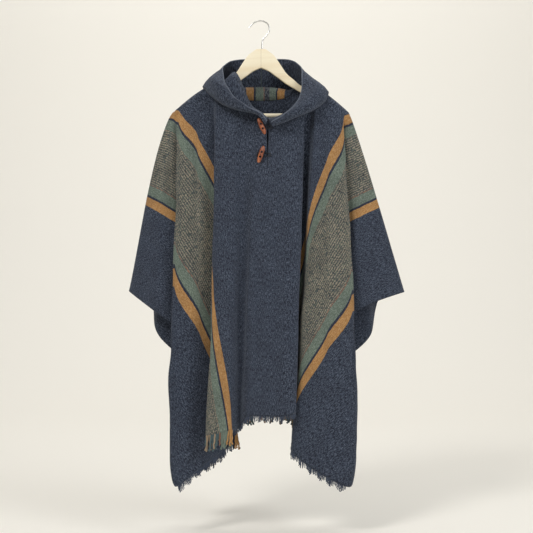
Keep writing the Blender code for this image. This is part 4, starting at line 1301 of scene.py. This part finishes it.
def finished_loop(name, toggle, side, finish):
    """The cord loop from beside the slit, round the back of its toggle."""
    (x0, z0), (x1, z1) = TOGGLE_ENDS[toggle]
    low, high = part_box(name)
    y_front, y_back = low[1] + CORD_RADIUS, high[1] - CORD_RADIUS
    mid_x, mid_z = (x0 + x1) / 2, (z0 + z1) / 2
    near, knee, far = mid_x + side * LOOP_NEAR, mid_x + side * LOOP_KNEE, mid_x - side * LOOP_FAR
    knots = [Vector((near, y_back, mid_z + LOOP_ROOT)), Vector((knee, y_front, mid_z + LOOP_HALF_WIDTH))]
    for a in (math.pi * k / 6 for k in range(7)):
        knots.append(Vector((far + side * LOOP_HALF_WIDTH * (1 - math.sin(a)), y_front,
                             mid_z + LOOP_HALF_WIDTH * math.cos(a))))
    knots += [Vector((knee, y_front, mid_z - LOOP_HALF_WIDTH)), Vector((near, y_back, mid_z - LOOP_ROOT))]
    return plied("finished_" + name, smooth_path(knots, CURVE_STEPS), CORD_RADIUS * LOOP_FULL, finish)


ARM_STEPS = 4  # finished sections for each of the plain ones
ARM_DROP_X = 0.189  # where the arm steps down to its deep end, which holds the bar
CORNER_POINTS = 5


def arm_sections():
    """Close sections of one arm, smoothly joined as far as the step near its end."""
    sections = list(ARM_INNER) + [(x, shoulder_z(x), shoulder_z(x) - deep) for x, deep in ARM_OUTER]
    fine = []
    for i, (here, ahead) in enumerate(zip(sections, sections[1:])):
        before, after = neighbours(sections, i)
        step = ahead[0] - here[0]
        bent = ahead[0] < ARM_DROP_X
        for f in (k / ARM_STEPS for k in range(ARM_STEPS)):
            row = [here[0] + step * f]
            for a, p, q, b in zip(before[1:], here[1:], ahead[1:], after[1:]):
                m0, m1 = (q - a) / (ahead[0] - before[0]) * step, (b - p) / (after[0] - here[0]) * step
                row.append(hermite(p, q, m0, m1, f) if bent else p + (q - p) * f)
            fine.append(row)
    return fine + [sections[-1]]


def finished_hanger(finish):
    """The two arms with softly rounded edges, on the same sections as the plain ones."""
    half, soft = ARM_HALF_THICKNESS, ARM_CHAMFER
    bm = bmesh.new()
    rings = []
    for x, top, bottom in arm_sections():
        ring = []
        for cy, cz, start in ((half - soft, top - soft, 0.0), (-half + soft, top - soft, 0.5),
                              (-half + soft, bottom + soft, 1.0), (half - soft, bottom + soft, 1.5)):
            for k in range(CORNER_POINTS):
                a = math.pi * (start + 0.5 * k / (CORNER_POINTS - 1))
                ring.append(bm.verts.new((x, cy + soft * math.cos(a), cz + soft * math.sin(a))))
        rings.append(ring)
    bridge(bm, rings)
    bm.faces.new(rings[-1])
    obj = new_piece("finished_hanger_body", mesh_from(bm, "finished_hanger_body"), finish)
    mirror = obj.modifiers.new("other_arm", "MIRROR")
    mirror.use_axis = (True, False, False)
    mirror.merge_threshold = 0.00001
    plain_mesh(obj)
    bm = bmesh.new()
    bm.from_mesh(obj.data)
    bmesh.ops.recalc_face_normals(bm, faces=bm.faces)
    bm.to_mesh(obj.data)
    bm.free()
    smooth(obj.data, 35)
    return obj


def round_piece(name, path, radius, sides, finish):
    """A tube along a path, as a piece."""
    return new_piece(name, tube(name, path, radius, sides), finish)


# ---------------------------------------------------------------- sewing

MOUTH_ROLL, SEAM_ROLL = 0.0014, 0.0012  # radius of the hood's rolled edge, and of its back seam
STITCHES_FROM, STITCHES_OUT = 2, 2  # the row that they start at, and columns to the right of the slit
STITCHES_PROUD = 0.0003
STITCH_INPUTS = [
    ("Pitch", "NodeSocketFloat", 0.0036), ("Length", "NodeSocketFloat", 0.0023),
    ("Thread", "NodeSocketFloat", 0.00045),
]


def stitch_tree(finish):
    """Stitches of a thread at even steps along a curve."""
    tree, _, node = repeat_tree("stitches", STITCH_INPUTS)
    given = node("NodeGroupInput").outputs
    curve = node("GeometryNodeMeshToCurve", None, {"Mesh": given["Geometry"]})
    points = node("GeometryNodeCurveToPoints", {"mode": "LENGTH"}, {
        "Curve": curve.outputs[0], "Length": given["Pitch"]})
    bead = node("GeometryNodeMeshUVSphere", None, {"Segments": 6, "Rings": 4, "Radius": 1.0})
    half = node("ShaderNodeMath", {"operation": "MULTIPLY"}, {0: given["Length"], 1: 0.5}).outputs[0]
    size = node("ShaderNodeCombineXYZ", None, {
        "X": given["Thread"], "Y": given["Thread"], "Z": half}).outputs[0]
    put = node("GeometryNodeInstanceOnPoints", None, {
        "Points": points.outputs["Points"], "Instance": bead.outputs[0],
        "Rotation": points.outputs["Rotation"], "Scale": size})
    finish_tree(tree, node, put.outputs[0], finish)
    return tree


def stitched(name, path, finish):
    """A row of stitches along a path, as a piece."""
    mesh = bpy.data.meshes.new(name)
    mesh.from_pydata([tuple(p) for p in path], [(i, i + 1) for i in range(len(path) - 1)], [])
    obj = new_piece(name, mesh, None)
    row = obj.modifiers.new("row", "NODES")
    row.node_group = stitch_tree(finish)
    return plain_mesh(obj)


# ---------------------------------------------------------------- room, light and camera

CAMERA_PLACE = (0.014, -3.21, -0.625)
LENS, SENSOR = 85.0, 36.0
FLOOR_Z, FLOOR_EDGE = -1.30, -6.0
WALL_Y, WALL_TOP = 4.4, 5.0
ROOM_HALF_WIDTH = 7.0
SWEEP = 2.0  # radius of the curve between floor and wall
SWEEP_STEPS = 12
BACKDROP = (0.93, 0.905, 0.845)
AIR_COLOUR, AIR_STRENGTH = (1.0, 0.985, 0.95), 0.33
MIDDLE = (0.0, 0.0, -0.6)  # of the poncho
LAMPS = (  # name, place, aim, size, power, colour
    ("key", (-1.7, -2.7, 1.9), MIDDLE, 1.2, 66.0, (1.0, 0.985, 0.96)),
    ("fill", (2.5, -2.0, 0.7), MIDDLE, 1.8, 40.0, (0.96, 0.98, 1.0)),
    ("wall", (0.0, 1.5, 3.2), (0.0, WALL_Y, -0.4), 3.0, 82.0, (1.0, 0.99, 0.97)),
)


def room():
    """A pale sweep: floor, a soft curve and a wall."""
    profile = [(FLOOR_EDGE, FLOOR_Z), (WALL_Y - SWEEP, FLOOR_Z)]
    for k in range(1, SWEEP_STEPS + 1):
        a = math.pi / 2 * k / SWEEP_STEPS
        profile.append((WALL_Y - SWEEP * (1 - math.sin(a)), FLOOR_Z + SWEEP * (1 - math.cos(a))))
    profile.append((WALL_Y, WALL_TOP))
    mesh = bpy.data.meshes.new("sweep")
    points = [(x, y, z) for y, z in profile for x in (-ROOM_HALF_WIDTH, ROOM_HALF_WIDTH)]
    faces = [(2 * i, 2 * i + 1, 2 * i + 3, 2 * i + 2) for i in range(len(profile) - 1)]
    mesh.from_pydata(points, [], faces)
    smooth(mesh)
    obj = bpy.data.objects.new("sweep", mesh)
    bpy.context.scene.collection.objects.link(obj)
    finish = Finish("pale_paper", roughness=0.95)
    finish.colour(BACKDROP)
    mesh.materials.append(finish.material)


def lamp(name, place, aim, size, power, colour):
    """A round soft lamp that points at a place."""
    data = bpy.data.lights.new(name, "AREA")
    data.shape, data.size, data.energy, data.color = "DISK", size, power, colour
    obj = bpy.data.objects.new(name, data)
    obj.location = place
    obj.rotation_euler = (Vector(aim) - Vector(place)).to_track_quat("-Z", "Y").to_euler()
    bpy.context.scene.collection.objects.link(obj)


def light_and_camera():
    """The lamps, the light of the air and the camera."""
    world = bpy.data.worlds.new("soft_room")
    world.use_nodes = True
    air = world.node_tree.nodes["Background"]
    air.inputs["Color"].default_value = (*AIR_COLOUR, 1.0)
    air.inputs["Strength"].default_value = AIR_STRENGTH
    bpy.context.scene.world = world
    for row in LAMPS:
        lamp(*row)
    data = bpy.data.cameras.new("camera")
    data.lens, data.sensor_width = LENS, SENSOR
    camera = bpy.data.objects.new("camera", data)
    camera.location = CAMERA_PLACE
    camera.rotation_euler = (math.pi / 2, 0.0, 0.0)
    bpy.context.scene.collection.objects.link(camera)
    bpy.context.scene.camera = camera
    bpy.context.scene.view_settings.view_transform = "Standard"


# ---------------------------------------------------------------- the whole

room()
light_and_camera()

wool = woven_wool("striped_wool", WARP, HALF_WIDTH)
hood_wool = woven_wool("hood_wool", HOOD_WARP, HOOD_REACH, (BAND_MIDDLE, BAND_HEIGHT))
yarn = yarn_finish("wool_yarn")
birch, red_wood, dark_cord, wire = birch_finish(), red_wood_finish(), cord_finish(), wire_finish()

front, front_grid, front_chart = finished_panel(
    "poncho_front", FRONT_FOLDS, FRONT, FRONT_CREASES, wool, slit=True)
back, back_grid, back_chart = finished_panel(
    "poncho_back", BACK_FOLDS, BACK, BACK_CREASES, wool, slit=False)
hoods, hood_forms = {}, {}
for side, word in ((1, "right"), (-1, "left")):
    hoods[side], hood_forms[side] = finished_hood("hood_cloth_" + word, side, hood_wool)


def fine_column(folds, name):
    """The column of the finished cloth at which a named fold line stands."""
    return column_of(folds, name) * FINE


def hem_fringe(name, grid, chart, folds, seed):
    """The yarn ends of a panel's hem, from corner to corner."""
    corners = [fine_column(folds, corner) for corner in ("corner_l", "corner_r")]
    return finished_fringe(name, grid, chart, yarn, *corners, seed)


front_fringe = hem_fringe("yarn_ends_front", front_grid, front_chart, FRONT_FOLDS, 4)
back_fringe = hem_fringe("yarn_ends_back", back_grid, back_chart, BACK_FOLDS, 9)

# Painted highlight: the rolled mouth edge is coloured a lighter navy than the wool, for the bright rim along
# it
mouth_edge_highlight = Finish("mouth_edge_painted_highlight", roughness=0.9, sheen=(0.3, 0.4, (0.6, 0.65, 0.75)))
mouth_edge_highlight.colour(EDGE_HIGHLIGHT_NAVY)
mouth = [section[-1].copy() for section in hood_forms[1] + hood_forms[-1][-2::-1]]
rolled_edge = round_piece("rolled_mouth_edge", mouth, MOUTH_ROLL, 8, mouth_edge_highlight.material)
back_seam = [Vector((0.0, p.y, p.z)) for p in hood_forms[1][-1]]
hood_seam = round_piece("hood_back_seam", back_seam, SEAM_ROLL, 8, hood_wool)
thread = Finish("navy_thread", roughness=0.7)
thread.colour(THREAD_NAVY)
beside = fine_column(FRONT_FOLDS, "centre_front") + STITCHES_OUT
slit_end = sum(ROW_SPLITS[:SLIT_ROW])
proud = Vector((0.0, -SHELL / 2 - STITCHES_PROUD, 0.0))
seam = [front_grid[r][beside] + proud for r in range(STITCHES_FROM, slit_end + 1)]
slit_stitches = stitched("slit_stitches", seam, thread.material)

toggles = ("toggle_upper", "toggle_lower")
pieces = [
    (front, "front_panel"), (back, "back_panel"),
    (hoods[1], "hood_right"), (hoods[-1], "hood_left"),
    (front_fringe, "fringe_front"), (back_fringe, "fringe_back"),
]
pieces += [(finished_toggle(name, red_wood), name) for name in toggles]
extras = [rolled_edge, hood_seam, slit_stitches] + [toggle_cord(name, dark_cord) for name in toggles]
for name, toggle in zip(("loop_upper", "loop_lower"), toggles):
    pieces.append((finished_loop(name, toggle, 1, dark_cord), name))
pieces.append((finished_hanger(birch), "hanger_body"))
bar = [Vector((x, 0.0, BAR_Z)) for x in (-BAR_HALF_LENGTH, -0.1, 0.0, 0.1, BAR_HALF_LENGTH)]
pieces.append((round_piece("finished_bar", bar, BAR_RADIUS, 28, birch), "hanger_bar"))
hook = smooth_path([Vector((x, 0.0, z)) for x, z in HOOK_PATH], 8)
pieces.append((round_piece("finished_hook", hook, HOOK_RADIUS, 14, wire), "hanger_hook"))

for piece, node in pieces:
    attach(piece, "root")
    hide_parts(node)
for piece in extras:
    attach(piece, "root")
